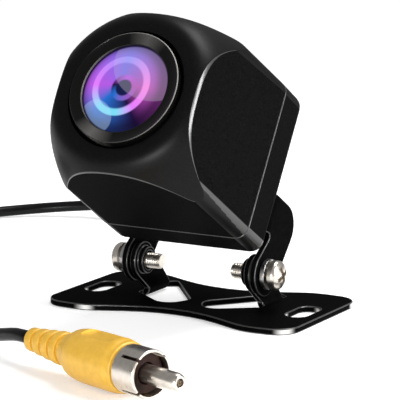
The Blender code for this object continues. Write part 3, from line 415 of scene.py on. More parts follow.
def piece(name, bm, mats, body, nodes=(), matrix=None,
          bevel=0.0, segments=2, limit=30.0, clamp=True):
    """A visual piece on a body, standing for CAD nodes. Its rounded edges have its last material."""
    sharp = math.radians(limit)
    if matrix is not None:
        bmesh.ops.transform(bm, matrix=matrix, verts=bm.verts)
    if not isinstance(mats, tuple):
        mats = (mats,)
    obj = add_object(name, bm, *mats)
    obj.data.shade_smooth()
    obj.data.set_sharp_from_angle(angle=sharp)
    if bevel:
        rounding = obj.modifiers.new("edges", "BEVEL")
        rounding.width = bevel
        rounding.segments = segments
        rounding.limit_method = "ANGLE"
        rounding.angle_limit = sharp
        rounding.harden_normals = True
        rounding.use_clamp_overlap = clamp
        rounding.material = len(mats) - 1
    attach(obj, body)
    if nodes:
        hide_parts(*nodes)
    return obj


def lens_map(bm):
    """A UV map of the lens's own x and y, the glass's opening filling the square."""
    layer = bm.loops.layers.uv.new("lens")
    for face in bm.faces:
        for loop in face.loops:
            x, y, _ = loop.vert.co
            loop[layer].uv = (0.5 + 0.5 * x / GLASS_OPENING, 0.5 + 0.5 * y / GLASS_OPENING)
    return bm


def from_node(node):
    """A clean copy of a CAD node's mesh, with its flat faces whole again."""
    bm = bmesh.new()
    bm.from_mesh(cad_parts[node].data)
    bmesh.ops.remove_doubles(bm, verts=bm.verts, dist=MERGE)
    bmesh.ops.dissolve_limit(bm, angle_limit=FLAT_ANGLE, verts=bm.verts, edges=bm.edges)
    bmesh.ops.recalc_face_normals(bm, faces=bm.faces)
    return bm


# Material helpers

class Shader:
    """A Principled material and short ways to add nodes to it."""

    def __init__(self, name, colour, roughness, metallic=0.0):
        self.mat = bpy.data.materials.new(name)
        self.mat.use_nodes = True
        self.tree = self.mat.node_tree
        self.bsdf = self.tree.nodes["Principled BSDF"]
        self.set("Base Color", (*colour, 1.0))
        self.set("Roughness", roughness)
        self.set("Metallic", metallic)

    def set(self, socket, value):
        self.bsdf.inputs[socket].default_value = value

    def add(self, kind, **settings):
        node = self.tree.nodes.new(kind)
        for key, value in settings.items():
            setattr(node, key, value)
        return node

    def link(self, source, target):
        self.tree.links.new(source, target)

    def math(self, operation, a, b=None, c=None):
        node = self.add("ShaderNodeMath", operation=operation)
        for i, value in enumerate((a, b, c)):
            if value is None:
                continue
            if isinstance(value, (int, float)):
                node.inputs[i].default_value = value
            else:
                self.link(value, node.inputs[i])
        return node.outputs[0]

    def length(self, a, b):
        squares = [self.math("MULTIPLY", side, side) for side in (a, b)]
        return self.math("SQRT", self.math("ADD", *squares))

    def noise(self, scale, detail=3.0):
        place = self.add("ShaderNodeTexCoord")
        node = self.add("ShaderNodeTexNoise")
        node.inputs["Scale"].default_value = scale
        node.inputs["Detail"].default_value = detail
        self.link(place.outputs["Object"], node.inputs["Vector"])
        return node.outputs["Fac"]

    def ramp(self, fac, stops):
        node = self.add("ShaderNodeValToRGB")
        elements = node.color_ramp.elements
        while len(elements) < len(stops):
            elements.new(0.5)
        for element, (position, colour) in zip(elements, stops):
            element.position = position
            element.color = (*colour, 1.0)
        self.link(fac, node.inputs["Fac"])
        return node.outputs["Color"]

    def mix(self, fac, a, b):
        """A colour mix, by the numbers of the node's colour sockets."""
        node = self.add("ShaderNodeMix", data_type="RGBA")
        for value, index in ((fac, 0), (a, 6), (b, 7)):
            if isinstance(value, (int, float)):
                node.inputs[index].default_value = value
            elif isinstance(value, tuple):
                node.inputs[index].default_value = (*value, 1.0)
            else:
                self.link(value, node.inputs[index])
        return node.outputs[2]

    def step(self, value, start, stop):
        """Smooth 0 to 1 as the value goes from start to stop."""
        node = self.add("ShaderNodeMapRange", interpolation_type="SMOOTHSTEP")
        node.inputs["From Min"].default_value = start
        node.inputs["From Max"].default_value = stop
        self.link(value, node.inputs["Value"])
        return node.outputs["Result"]

    def bump(self, height, strength, distance):
        node = self.add("ShaderNodeBump")
        node.inputs["Strength"].default_value = strength
        node.inputs["Distance"].default_value = distance
        self.link(height, node.inputs["Height"])
        self.link(node.outputs["Normal"], self.bsdf.inputs["Normal"])

    def vary(self, scale, dark, light, rough_low, rough_high):
        """Colour and roughness that drift with a noise."""
        fac = self.noise(scale, 4.0)
        self.link(self.ramp(fac, ((0.3, dark), (0.7, light))), self.bsdf.inputs["Base Color"])
        node = self.add("ShaderNodeMapRange")
        node.inputs["To Min"].default_value = rough_low
        node.inputs["To Max"].default_value = rough_high
        self.link(fac, node.inputs["Value"])
        self.link(node.outputs["Result"], self.bsdf.inputs["Roughness"])


def speckled(name, dark, light, rough, specular, grain, strength, height, metallic=0.0, spread=900.0):
    """A material that drifts from dark to light, with a fine grain as bump."""
    shader = Shader(name, dark, rough[0], metallic)
    shader.vary(spread, dark, light, *rough)
    shader.set("Specular IOR Level", specular)
    shader.bump(shader.noise(grain, 2.0), strength, height)
    return shader.mat


def lens_place(shader):
    """The lens's own x and y, from -1 to 1 over the glass's opening."""
    uv = shader.add("ShaderNodeUVMap", uv_map="lens")
    split = shader.add("ShaderNodeSeparateXYZ")
    shader.link(uv.outputs["UV"], split.inputs["Vector"])
    x = shader.math("MULTIPLY_ADD", split.outputs["X"], 2.0, -1.0)
    y = shader.math("MULTIPLY_ADD", split.outputs["Y"], 2.0, -1.0)
    return x, y


def lens_turn(shader, x, y):
    """Angle about the lens as a share of a turn: 0 left, 0.25 below, 0.5 right and 0.75 above."""
    return shader.math("MULTIPLY_ADD", shader.math("ARCTAN2", y, x), 0.5 / math.pi, 0.5)


def coating_with_painted_reflections():
    """Coated front element: painted reflections as rings of blended hues and two pale discs of painted lamp
    reflections, on the lens's own UV map; the colour also glows.
    """
    shader = Shader("coating_with_painted_reflections", (0.1, 0.05, 0.3), 0.12)
    x, y = lens_place(shader)
    ring_x = shader.math("ADD", x, RING_SHIFT[0])
    ring_y = shader.math("ADD", y, RING_SHIFT[1])
    radius = shader.length(ring_x, ring_y)
    turn = lens_turn(shader, ring_x, ring_y)
    deep = shader.ramp(turn, DEEP_HUES)
    bright = shader.ramp(turn, BRIGHT_HUES)
    inner = shader.ramp(turn, INNER_HUES)
    shade = shader.math("MULTIPLY", shader.step(radius, *SHADE_RING), SHADE_SHARE)
    colour = shader.mix(shade, deep, (0.006, 0.003, 0.02))
    colour = shader.mix(shader.step(radius, *BRIGHT_RING), colour, bright)
    colour = shader.mix(shader.step(radius, *MIDDLE_RING), colour, deep)
    centred = shader.length(x, y)
    colour = shader.mix(shader.step(centred, *INNER_RING), colour, inner)
    colour = shader.mix(shader.step(centred, *PUPIL), colour, (0.008, 0.012, 0.07))
    across, up = (shader.math("ADD", shader.math("MULTIPLY", x, a), shader.math("MULTIPLY", y, b))
                  for a, b in (DISC_ACROSS, DISC_UP))
    for cx, cy, size, share, pale in LAMP_REFLECTION_DISCS:
        away = shader.length(shader.math("ADD", across, -cx), shader.math("ADD", up, -cy))
        disc = shader.step(away, size + DISC_SOFTNESS, size - DISC_SOFTNESS)
        colour = shader.mix(shader.math("MULTIPLY", disc, share), colour, pale)
    colour = shader.mix(shader.step(centred, *DARK_RIM), colour, (0.01, 0.006, 0.03))
    # The painted colour also goes into emission, so the glass glows though it is no lamp
    shader.link(colour, shader.bsdf.inputs["Emission Color"])
    shader.link(shader.mix(0.9, colour, (0.0, 0.0, 0.0)), shader.bsdf.inputs["Base Color"])
    shader.set("Emission Strength", 0.95)
    shader.set("Specular IOR Level", 0.03)
    shader.bump(shader.noise(400.0, 2.0), 0.01, 0.02 * MM)
    return shader.mat


def bezel_look(name, roughness, painted_greys):
    """Gloss black of the bezel, with painted sheens round the lens in its colour, given as (share of a turn,
    grey).
    """
    shader = Shader(name, (0.003, 0.003, 0.0035), roughness)
    x, y = lens_place(shader)
    stops = [(place, (grey, 0.97 * grey, 0.93 * grey)) for place, grey in painted_greys]
    shader.link(shader.ramp(lens_turn(shader, x, y), stops), shader.bsdf.inputs["Base Color"])
    shader.set("Specular IOR Level", 0.15)
    shader.bump(shader.noise(3000.0, 2.0), 0.03, 0.02 * MM)
    return shader.mat


def rubbed_paint():
    """Black paint of the plate's edges, with painted glints: spots of bright bare steel in its colour and
    metallic value.
    """
    shader = Shader("rubbed_paint", (0.003, 0.003, 0.003), 0.3)
    place = shader.add("ShaderNodeTexCoord")
    split = shader.add("ShaderNodeSeparateXYZ")
    shader.link(place.outputs["Object"], split.inputs["Vector"])
    # Mask of the painted glints: 1 at each spot, fading out at its reach
    glint_mask = 0.0
    for x, y, reach in GLINT_SPOTS:
        across = shader.math("SUBTRACT", split.outputs["X"], x)
        along = shader.math("SUBTRACT", split.outputs["Y"], y)
        glint_mask = shader.math("MAXIMUM", shader.step(shader.length(across, along), reach, 0.0), glint_mask)
    drift = ((0.3, (0.002, 0.002, 0.0021)), (0.7, (0.004, 0.004, 0.0042)))
    paint = shader.ramp(shader.noise(900.0, 4.0), drift)
    shader.link(shader.mix(glint_mask, paint, (0.8, 0.79, 0.77)), shader.bsdf.inputs["Base Color"])
    shader.link(glint_mask, shader.bsdf.inputs["Metallic"])
    shader.set("Specular IOR Level", 0.002)
    shader.bump(shader.noise(2600.0, 2.0), 0.08, 0.03 * MM)
    return shader.mat


def make_materials():
    # Name, dark and light colour; then the roughness's range, the specular level, the grain's scale,
    # strength and height, and for some the metallic value and the scale of the drift
    looks = {
        "housing": ("matt_black_housing", (0.0005, 0.0005, 0.0005), (0.009, 0.009, 0.0093),
                    (0.44, 0.54), 0.003, 5200.0, 0.25, 0.03 * MM, 0.0, 4500.0),
        "dome": ("satin_black_dome", (0.0005, 0.0005, 0.0005), (0.005, 0.005, 0.0052),
                 (0.36, 0.44), 0.13, 5200.0, 0.2, 0.03 * MM, 0.0, 4500.0),
        "soft": ("soft_black_edge", (0.0005, 0.0005, 0.0005), (0.006, 0.006, 0.0062),
                 (0.38, 0.46), 0.045, 5200.0, 0.2, 0.03 * MM, 0.0, 4500.0),
        # Glossy strip of the lower round edges, a little lighter than the black round it: partly painted
        # highlight
        "satin": ("satin_black_edge", (0.006, 0.006, 0.006), (0.01, 0.01, 0.01),
                  (0.28, 0.36), 0.75, 5200.0, 0.08, 0.03 * MM),
        "paint": ("black_paint", (0.002, 0.002, 0.0021), (0.004, 0.004, 0.0042),
                  (0.45, 0.55), 0.002, 2600.0, 0.08, 0.03 * MM),
        # Rounded edges: glossy, and lighter black than the faces, which is a painted highlight line
        "edge": ("edge_black", (0.025, 0.025, 0.025), (0.04, 0.04, 0.04),
                 (0.26, 0.32), 0.8, 2600.0, 0.04, 0.03 * MM),
        "black": ("inner_black", (0.004, 0.004, 0.0045), (0.007, 0.007, 0.008),
                  (0.30, 0.40), 0.1, 2600.0, 0.05, 0.03 * MM),
        "nickel": ("nickel_steel", (0.66, 0.61, 0.545), (0.80, 0.745, 0.675),
                   (0.24, 0.34), 0.5, 2400.0, 0.05, 0.03 * MM, 1.0),
        "spring": ("spring_steel", (0.42, 0.41, 0.40), (0.60, 0.59, 0.58),
                   (0.22, 0.36), 0.5, 2200.0, 0.08, 0.03 * MM, 1.0),
        "rubber": ("black_rubber", (0.006, 0.006, 0.006), (0.011, 0.011, 0.011),
                   (0.6, 0.72), 0.1, 3400.0, 0.2, 0.04 * MM),
        "cord": ("black_cord", (0.003, 0.003, 0.0035), (0.006, 0.006, 0.0065),
                 (0.26, 0.34), 0.15, 1800.0, 0.06, 0.04 * MM),
        "yellow": ("yellow_plug", (0.74, 0.42, 0.04), (0.83, 0.49, 0.065),
                   (0.34, 0.44), 0.5, 2600.0, 0.10, 0.04 * MM),
        "brown": ("brown_insulator", (0.018, 0.008, 0.006), (0.032, 0.015, 0.011),
                  (0.4, 0.52), 0.1, 2400.0, 0.1, 0.04 * MM),
        "green": ("board_green", (0.01, 0.10, 0.03), (0.02, 0.16, 0.05),
                  (0.40, 0.50), 0.5, 1500.0, 0.05, 0.03 * MM),
        "white": ("white_plastic", (0.66, 0.65, 0.61), (0.76, 0.75, 0.71),
                  (0.45, 0.55), 0.5, 1500.0, 0.05, 0.03 * MM),
        "sensor": ("sensor_grey", (0.05, 0.05, 0.07), (0.10, 0.10, 0.13),
                   (0.18, 0.28), 0.5, 4000.0, 0.03, 0.02 * MM),
        "glass": ("inner_glass", (0.05, 0.06, 0.22), (0.10, 0.08, 0.30),
                  (0.03, 0.06), 0.5, 1500.0, 0.01, 0.02 * MM),
        "filter": ("filter_glass", (0.20, 0.42, 0.48), (0.26, 0.50, 0.56),
                   (0.04, 0.08), 0.5, 1500.0, 0.01, 0.02 * MM),
    }
    mats = {key: speckled(*look) for key, look in looks.items()}
    # The bezel's painted sheens, and painted highlight lines on its outer and inner rims
    mats["gloss"] = bezel_look("gloss_black_bezel", 0.2, (
        (0.0, 0.004), (0.12, 0.004), (0.185, 0.10), (0.26, 0.004),
        (0.65, 0.004), (0.715, 0.08), (0.78, 0.004), (1.0, 0.004)))
    mats["rim"] = bezel_look("bezel_outer_rim_painted_highlight", 0.3, (
        (0.0, 0.01), (0.30, 0.04), (0.62, 0.34), (0.92, 0.01)))
    mats["inner_rim"] = bezel_look("bezel_inner_rim_painted_highlight", 0.3, (
        (0.0, 0.18), (0.10, 0.08), (0.16, 0.01), (0.82, 0.01), (0.90, 0.10), (1.0, 0.18)))
    mats["coating"] = coating_with_painted_reflections()
    mats["rubbed"] = rubbed_paint()
    return mats


# Pieces of the camera

def side_reach(turn, wide, high):
    """Distance from the axis to a square with round corners, in the direction of turn."""
    c, s = abs(math.cos(turn)), abs(math.sin(turn))
    flat_x, flat_y = wide - EDGE_RADIUS, high - EDGE_RADIUS
    if wide * s <= flat_y * c:
        return wide / c
    if high * c <= flat_x * s:
        return high / s
    along = flat_x * c + flat_y * s
    return along + math.sqrt(along ** 2 - flat_x ** 2 - flat_y ** 2 + EDGE_RADIUS ** 2)


def bisect(test, low, high):
    """Where a test that holds at low stops holding on the way to high."""
    for _ in range(40):
        middle = (low + high) / 2
        if test(middle):
            low = middle
        else:
            high = middle
    return low


def housing_column(turn):
    """Outline of the front housing in one direction, from the seam to the lip, as (r, z) points.

    A side face and the dome meet in an arc, which is rounded. The rounded stretches are given too.
    """
    corner = math.sqrt(2) * (HALF - EDGE_RADIUS) + EDGE_RADIUS + DOME_OVERRUN
    handles = ((LIP_RADIUS, LIP), (LIP_RADIUS + DOME_HANDLE_FRONT, LIP),
               (corner - DOME_HANDLE_IN, LIP - DOME_DEPTH + DOME_HANDLE_SIDE), (corner, LIP - DOME_DEPTH))

    def side(z):
        return side_reach(turn, HALF - SIDE_LEAN * z / NOSE, HALF), z

    def dome(t):
        return curve(*handles, t)

    meet = bisect(lambda t: dome(t)[0] < side(dome(t)[1])[0], 0.0, 1.0)
    edge = dome(meet)
    width = ARC_EDGE_TOP + (ARC_EDGE_SIDE - ARC_EDGE_TOP) * math.cos(turn) ** 2
    width *= 1 - ARC_NARROWING * math.sin(2 * turn) ** 6
    low = edge[1] - width
    high = bisect(lambda t: math.dist(dome(t), edge) > width, 0.0, meet)
    seam = -GAP / 2
    column = [side(seam + SEAM_EDGE * k / SEAM_STEPS) for k in range(SEAM_STEPS + 1)]
    column[0] = (column[0][0] - SEAM_EDGE, seam)
    column[1] = (column[1][0] - SEAM_EDGE / 4, column[1][1])
    start = seam + 2 * SEAM_EDGE
    column += [side(start + (low - GAP - start) * k / SIDE_RINGS) for k in range(SIDE_RINGS + 1)]
    first = len(column)
    column += [round_corner(side(low), edge, dome(high), k / ARC_STEPS) for k in range(ARC_STEPS + 1)]
    support = bisect(lambda t: math.dist(dome(t), edge) > width + GAP, 0.0, meet)
    column += [dome(support * (1 - k / DOME_RINGS)) for k in range(DOME_RINGS + 1)]
    return column, ((0, SEAM_STEPS), (first, first + ARC_STEPS))


def round_corner(p0, p1, p2, t):
    """A point on the nearly flat chamfer that takes off the corner p1 from p0 to p2."""
    middle = [ARC_FLATNESS * (p0[k] + p2[k]) / 2 + (1 - ARC_FLATNESS) * p1[k] for k in (0, 1)]
    return tuple((1 - t) ** 2 * p0[k] + 2 * t * (1 - t) * middle[k] + t * t * p2[k] for k in (0, 1))


def housing_turns():
    """Directions about the axis, close together at the round edges of the square."""
    turns = []
    flat = HALF - EDGE_RADIUS
    for side in range(4):
        for k in range(FLAT_COLUMNS):
            across = flat * math.sin(math.pi * (k / FLAT_COLUMNS - 0.5))
            turns.append(side * math.pi / 2 + math.atan2(across, HALF))
        for k in range(CORNER_COLUMNS):
            a = math.pi / 2 * k / CORNER_COLUMNS
            turns.append(side * math.pi / 2 + math.atan2(flat + EDGE_RADIUS * math.sin(a),
                                                         flat + EDGE_RADIUS * math.cos(a)))
    return turns


def edge_lean(turn):
    """How far round a round edge a direction is, in degrees from the left or right face, or None off it."""
    reach = side_reach(turn, HALF, HALF)
    x, y = abs(reach * math.cos(turn)), abs(reach * math.sin(turn))
    flat = HALF - EDGE_RADIUS
    if x <= flat or y <= flat:
        return None
    return math.degrees(math.atan2(y - flat, x - flat))


def edge_look(lean, forward, upper):
    """Material of a round edge. A lower one has a strip of glossier, lighter black, partly a painted
    highlight, narrowing as forward goes from 0 to 1.
    """
    if upper:
        return SOFT
    return HIGHLIGHT_STRIP if STRIP_START < lean < STRIP_STOP - STRIP_TAPER * forward else DOME


def cover_edges(bm):
    """Carry the looks of the round edges on over the rear cover."""
    turn = LENS.to_3x3().inverted()
    for face in bm.faces:
        x, y, z = turn @ face.normal
        lean = math.degrees(math.atan2(abs(y), abs(x)))
        if abs(z) < UPRIGHT and STRIP_START < lean < 90 - STRIP_START:
            face.material_index = edge_look(lean, 0.0, y > 0)
    return bm


def build_housing(mats):
    moat = BEZEL_RADIUS + BEZEL_MOAT
    seat = NOSE - BEZEL_FLANGE - GAP
    turns = housing_turns()
    mouth = [(moat + MOUTH_EDGE, LIP), (moat + MOUTH_EDGE / 4, LIP - MOUTH_EDGE / 4),
             (moat, LIP - MOUTH_EDGE), (moat, seat)]
    columns = []
    for turn in turns:
        column, rounds = housing_column(turn)
        inside = [(CAVITY_RADIUS, CEILING), (CAVITY_RADIUS, column[0][1])]
        columns.append(inside + column + mouth)
    sections = [[(r * math.cos(turn), r * math.sin(turn), z) for turn, (r, z) in zip(turns, ring)]
                for ring in zip(*columns)]
    bm = loft(sections)
    bm.faces.ensure_lookup_table()
    count = len(turns)
    (seam, start), (first, last) = ((low + len(inside), high + len(inside)) for low, high in rounds)
    leans = [edge_lean(turn) for turn in turns]
    for ring in range(len(sections) - 1):
        for k, face in enumerate(bm.faces[ring * count:(ring + 1) * count]):
            on_arc = first <= ring < last and abs(math.cos(2 * turns[k])) > ARC_FADE
            if seam <= ring < start or on_arc:
                face.material_index = EDGE
            elif ring >= first:
                face.material_index = DOME
            elif ring >= start and leans[k] is not None:
                forward = (ring - start) / (first - start)
                face.material_index = edge_look(leans[k], forward, math.sin(turns[k]) > 0)
    looks = (mats["housing"], mats["dome"], mats["satin"], mats["soft"], mats["edge"])
    piece("housing_shell", bm, looks, "camera", ("front_housing",), LENS, limit=40.0)
    piece("back_cover", cover_edges(from_node("rear_cover")), looks, "camera", ("rear_cover",),
          bevel=COVER_ROUNDING, limit=25.0, clamp=False)


def build_lens(mats):
    flange_back = NOSE - BEZEL_FLANGE
    inner = GLASS_RADIUS + GAP
    step = NOSE - BEZEL_LIP / 2
    bezel = [(inner, BEZEL_BACK), (BEZEL_SLEEVE, BEZEL_BACK), (BEZEL_SLEEVE, flange_back)]
    bezel += [(BEZEL_RADIUS, flange_back)]
    bezel += arc((BEZEL_RADIUS - BEZEL_RIM, NOSE - BEZEL_RIM), BEZEL_RIM, 0, 150, 6)
    bezel += [(GLASS_OPENING + BEZEL_RIM, step)]
    bezel += arc((GLASS_OPENING + BEZEL_RIM, step - BEZEL_RIM), BEZEL_RIM, 90, 180, 3)
    bezel += [(GLASS_OPENING, NOSE - BEZEL_LIP), (inner, NOSE - BEZEL_LIP)]
    bm = lens_map(turned(bezel, 160, True))
    # Faces of the outer and inner rims take the materials with painted highlight lines
    for face in bm.faces:
        middle = face.calc_center_median()
        reach = middle.xy.length
        if middle.z > NOSE - BEZEL_RIM and reach > BEZEL_RADIUS - 1.3 * BEZEL_RIM:
            face.material_index = 1
        elif middle.z > NOSE - BEZEL_LIP and reach < GLASS_OPENING + 1.2 * BEZEL_RIM:
            face.material_index = 2
    piece("bezel_ring", bm, (mats["gloss"], mats["rim"], mats["inner_rim"]), "camera", ("lens_bezel",),
          LENS, limit=40.0)
    steps = 16
    dome = [(GLASS_OPENING * i / steps, GLASS_RIM + GLASS_CROWN * (1 - (i / steps) ** 2))
            for i in range(steps + 1)]
    back = GLASS_RIM - GLASS_EDGE
    bm = lens_map(turned(dome + [(GLASS_RADIUS, GLASS_RIM), (GLASS_RADIUS, back), (0, back)], 96))
    piece("front_glass", bm, mats["coating"], "camera", ("cover_glass",), LENS, limit=40.0)


def cross_recess(radius, height, depth):
    """Two crossing bars that cut a cross recess into a screw head."""
    reach = RECESS_REACH * radius
    bar = (2 * reach, RECESS_WIDTH * reach, 2 * depth * height)
    return [("DIFFERENCE", block(bar, (0, 0, height), k * math.pi / 2 + RECESS_TURN)) for k in range(2)]


def screw_head(radius, height):
    """Profile of a round head that stands on z = 0, from its top to its foot."""
    shoulder = HEAD_SHOULDER * height
    edge = HEAD_EDGE * height
    crown = [(radius * math.cos(a), shoulder + (height - shoulder) * math.sin(a))
             for a in (math.pi / 2 * i / HEAD_STEPS for i in range(HEAD_STEPS, -1, -1))]
    crown[0] = (0, height)
    return crown + [(radius, edge), (radius - edge, 0)]


def threaded(radius, length, segments=28):
    """Screw shank with a helical thread, from z = 0 down to its length."""
    rows = int(length / THREAD_PITCH * THREAD_ROWS)
    rings = []
    for k in range(rows + 1):
        z = -length * k / rows
        tip = min(1.0, (length + z) / THREAD_PITCH)
        ring = []
        for i in range(segments):
            phase = (z / THREAD_PITCH - i / segments) % 1.0
            crest = 1.0 - abs(2 * phase - 1.0)
            r = radius - THREAD_DEPTH * (1.0 - crest) - THREAD_DEPTH * (1.0 - tip)
            a = 2 * math.pi * i / segments
            ring.append((r * math.cos(a), r * math.sin(a), z))
        rings.append(ring)
    return loft(rings)


def joined(*parts):
    """One mesh from several."""
    bm = bmesh.new()
    for part in parts:
        mesh = bpy.data.meshes.new("temporary")
        part.to_mesh(mesh)
        part.free()
        bm.from_mesh(mesh)
        bpy.data.meshes.remove(mesh)
    return bm


def build_hinge_screws(mats):
    seat = YOKE_FACE + GAP + WASHER_THICK + GAP
    for side, tag in ((-1, "left"), (1, "right")):
        turn = Matrix.Rotation(side * math.pi / 2, 4, "Y")
        place = Matrix.Translation((side * seat, PIVOT.y, PIVOT.z)) @ turn
        head = turned(screw_head(HEAD_RADIUS, HEAD_HEIGHT) + [(0, 0)], 64)
        head = carved(head, *cross_recess(HEAD_RADIUS, HEAD_HEIGHT, RECESS_DEPTH))
        shank = threaded(SCREW_RADIUS, SCREW_LENGTH)
        bmesh.ops.translate(shank, vec=(0, 0, SHANK_OVERLAP), verts=shank.verts)
        piece(f"screw_{tag}", joined(head, shank), mats["nickel"], f"{tag}_screw", (f"hinge_screw_{tag}",),
              place, SCREW_ROUNDING, limit=40.0)
        piece(f"washer_{tag}", from_node(f"lock_washer_{tag}"), mats["spring"], f"{tag}_screw",
              (f"lock_washer_{tag}",), bevel=WASHER_ROUNDING, limit=40.0)


def build_small_screws(mats):
    """Cover and yoke screws with cross recesses, seen from behind."""
    flip = Matrix.Rotation(math.pi, 4, "X")
    spots = {f"cover_screw_{name}": (sx * COVER_SCREW, sy * COVER_SCREW, -COVER_DEPTH + SMALL_HEAD_HEIGHT)
             for name, sx, sy in (("top_right", 1, 1), ("top_left", -1, 1),
                                  ("bottom_left", -1, -1), ("bottom_right", 1, -1))}
    yoke_back = -COVER_DEPTH - 2 * GAP - YOKE_SHEET
    for side, tag in ((-1, "left"), (1, "right")):
        spots[f"yoke_screw_{tag}"] = (side * YOKE_SCREW[0], YOKE_SCREW[1], yoke_back)
    profile = screw_head(SMALL_HEAD_RADIUS, SMALL_HEAD_HEIGHT)
    profile += [(SMALL_SCREW_RADIUS, 0), (SMALL_SCREW_RADIUS, -SMALL_SHANK), (0, -SMALL_SHANK)]
    for name, spot in spots.items():
        recess = cross_recess(SMALL_HEAD_RADIUS, SMALL_HEAD_HEIGHT, SMALL_RECESS_DEPTH)
        piece(name + "_head", carved(turned(profile, 32), *recess), mats["spring"], "camera", (name,),
              LENS @ Matrix.Translation(spot) @ flip, SMALL_ROUNDING, limit=40.0)


def waist_apex():
    """Where tangents from the lobes to the waist's arc cross on the plate's middle line."""
    centre = WAIST_HALF + WAIST_RADIUS
    reach = math.hypot(PLATE_LOBE, centre - PLATE_DEEP)
    slope = math.atan2(PLATE_LOBE, centre - PLATE_DEEP) - math.acos(WAIST_RADIUS / reach)
    return centre - WAIST_RADIUS / math.cos(slope)


def widen_corner(bm, corner, before, after, radius, wider):
    """Make the arc that rounds a corner of the plate's outline a wider one."""
    corner = Vector(corner)
    back = (Vector(before) - corner).normalized()
    ahead = (Vector(after) - corner).normalized()
    half = back.angle(ahead) / 2
    centre = corner + (back + ahead).normalized() * (radius / math.sin(half))
    reach = radius / math.tan(half) + CORNER_SLACK

    def near():
        return {vert for vert in bm.verts if (vert.co.xy - corner).length < reach}

    arc_verts = near()
    arc_edges = [edge for edge in bm.edges if set(edge.verts) <= arc_verts
                 and abs(edge.verts[0].co.z - edge.verts[1].co.z) < CORNER_SLACK]
    bmesh.ops.subdivide_edges(bm, edges=arc_edges, cuts=CORNER_CUTS, use_grid_fill=True)
    for vert in near():
        on_arc = centre + (vert.co.xy - centre).normalized() * radius
        vert.co.xy = corner + (on_arc - corner) * (wider / radius)


def rounder_plate():
    """The plate with rounder corners, its upright faces in the edge's own look."""
    bm = from_node("base_plate")
    for sx in (-1, 1):
        for sy in (-1, 1):
            end = (sx * PLATE_END, sy * PLATE_TIP)
            lobe = (sx * PLATE_LOBE, sy * PLATE_DEEP)
            widen_corner(bm, end, (end[0], 0), lobe, END_RADIUS, WIDE_END_RADIUS)
            widen_corner(bm, lobe, end, (0, sy * waist_apex()), LOBE_RADIUS, WIDE_LOBE_RADIUS)
    bmesh.ops.recalc_face_normals(bm, faces=bm.faces)
    for face in bm.faces:
        if abs(face.normal.z) < UPRIGHT:
            face.material_index = 1
    return bm


def build_brackets(mats):
    looks = (mats["paint"], mats["rubbed"], mats["edge"])
    piece("plate", rounder_plate(), looks, "bracket", ("base_plate",),
          bevel=PLATE_ROUNDING, segments=3, limit=25.0, clamp=False)
    piece("yoke_arm", from_node("yoke"), (mats["paint"], mats["edge"]), "camera", ("yoke",),
          bevel=YOKE_ROUNDING, segments=3, limit=25.0, clamp=False)


# Cord and plug

def smooth_route(points, step):
    """Points about a step apart on a smooth curve through the given ones."""
    ends = [points[0] * 2 - points[1]] + points + [points[-1] * 2 - points[-2]]
    route = []
    for p0, p1, p2, p3 in zip(ends, ends[1:], ends[2:], ends[3:]):
        count = max(2, round((p2 - p1).length / step))
        for i in range(count):
            t = i / count
            route.append(0.5 * (2 * p1 + (p2 - p0) * t + (2 * p0 - 5 * p1 + 4 * p2 - p3) * t * t
                                + (3 * p1 - p0 - 3 * p2 + p3) * t ** 3))
    return route + [points[-1]]


def coil_points():
    """Centre line of the stored coil: in on the lower layer, up, and out on the upper one."""
    outer = COIL_MIDDLE + COIL_STEP * COIL_LAYER_TURNS / 2
    inner = outer - COIL_STEP * COIL_LAYER_TURNS
    layer = 2 * math.pi * COIL_LAYER_TURNS
    total = 2 * layer + math.pi
    count = round(total / (2 * math.pi) * LOOP_POINTS)
    points = []
    for i in range(count + 1):
        a = total * i / count
        climb = min(1.0, max(0.0, (a - layer) / math.pi))
        travelled = min(a, layer) / layer if a < layer + math.pi else (total - a) / layer
        radius = outer + (inner - outer) * travelled
        z = COIL_LOW + COIL_STEP * climb * climb * (3 - 2 * climb)
        turn = COIL_START + a
        points.append(Vector((COIL_CENTRE[0] + radius * math.cos(turn),
                              COIL_CENTRE[1] + radius * math.sin(turn), z)))
    return points


def tube(points, radius, sides=14):
    """A closed mesh tube along the points, with no twist."""
    rings = []
    across = Vector((1, 0, 0))
    for i, p in enumerate(points):
        ahead = points[min(i + 1, len(points) - 1)] - points[max(i - 1, 0)]
        ahead.normalize()
        across = (across - ahead * across.dot(ahead)).normalized()
        other = ahead.cross(across)
        rings.append([p + (across * math.cos(a) + other * math.sin(a)) * radius
                      for a in (2 * math.pi * k / sides for k in range(sides))])
    return loft(rings)


def route_points(route):
    return [Vector([value * MM for value in point]) for point in route]


def cord_path():
    start = LENS @ Vector((0, GLAND_RISE, -GLAND_TAIL))
    leaving = LENS.to_3x3() @ Vector((0, 0, -1))
    coil = coil_points()
    first = [start, start + leaving * (2 * CORD + GAP)] + route_points(LEAD_ROUTE)
    into = (coil[1] - coil[0]).normalized()
    first += [coil[0] - into * 3 * CORD, coil[0] - into * CORD]
    axis = Vector((math.cos(PLUG_TURN), math.sin(PLUG_TURN), 0))
    tail = Vector((*PLUG_TAIL, PLUG_RADIUS))
    out = (coil[-1] - coil[-2]).normalized()
    last = [coil[-1] + out * CORD, coil[-1] + out * 3 * CORD] + route_points(END_ROUTE)
    last += [tail - axis * 2 * CORD, tail]
    return smooth_route(first, ROUTE_STEP) + coil + smooth_route(last, ROUTE_STEP)


def build_cord(mats):
    """The cord, a tube along its path, with its rings drawn in to the centre line for a moment and then set
    back.
    """
    path = cord_path()
    cord = add_object("lead_cord", tube(path, CORD / 2), mats["cord"])
    mesh = cord.data
    mesh.shade_smooth()
    surface = [vert.co.copy() for vert in mesh.vertices]
    sides = len(surface) // len(path)
    for vert in mesh.vertices:
        vert.co = path[vert.index // sides]
    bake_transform(cord)
    for vert, place in zip(mesh.vertices, surface):
        vert.co = place
    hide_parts("lead", "lead_coil", "lead_end")
    tie = piece("tie_band", from_node("coil_tie"), mats["rubber"], "bracket", ("coil_tie",),
                bevel=TIE_ROUNDING)


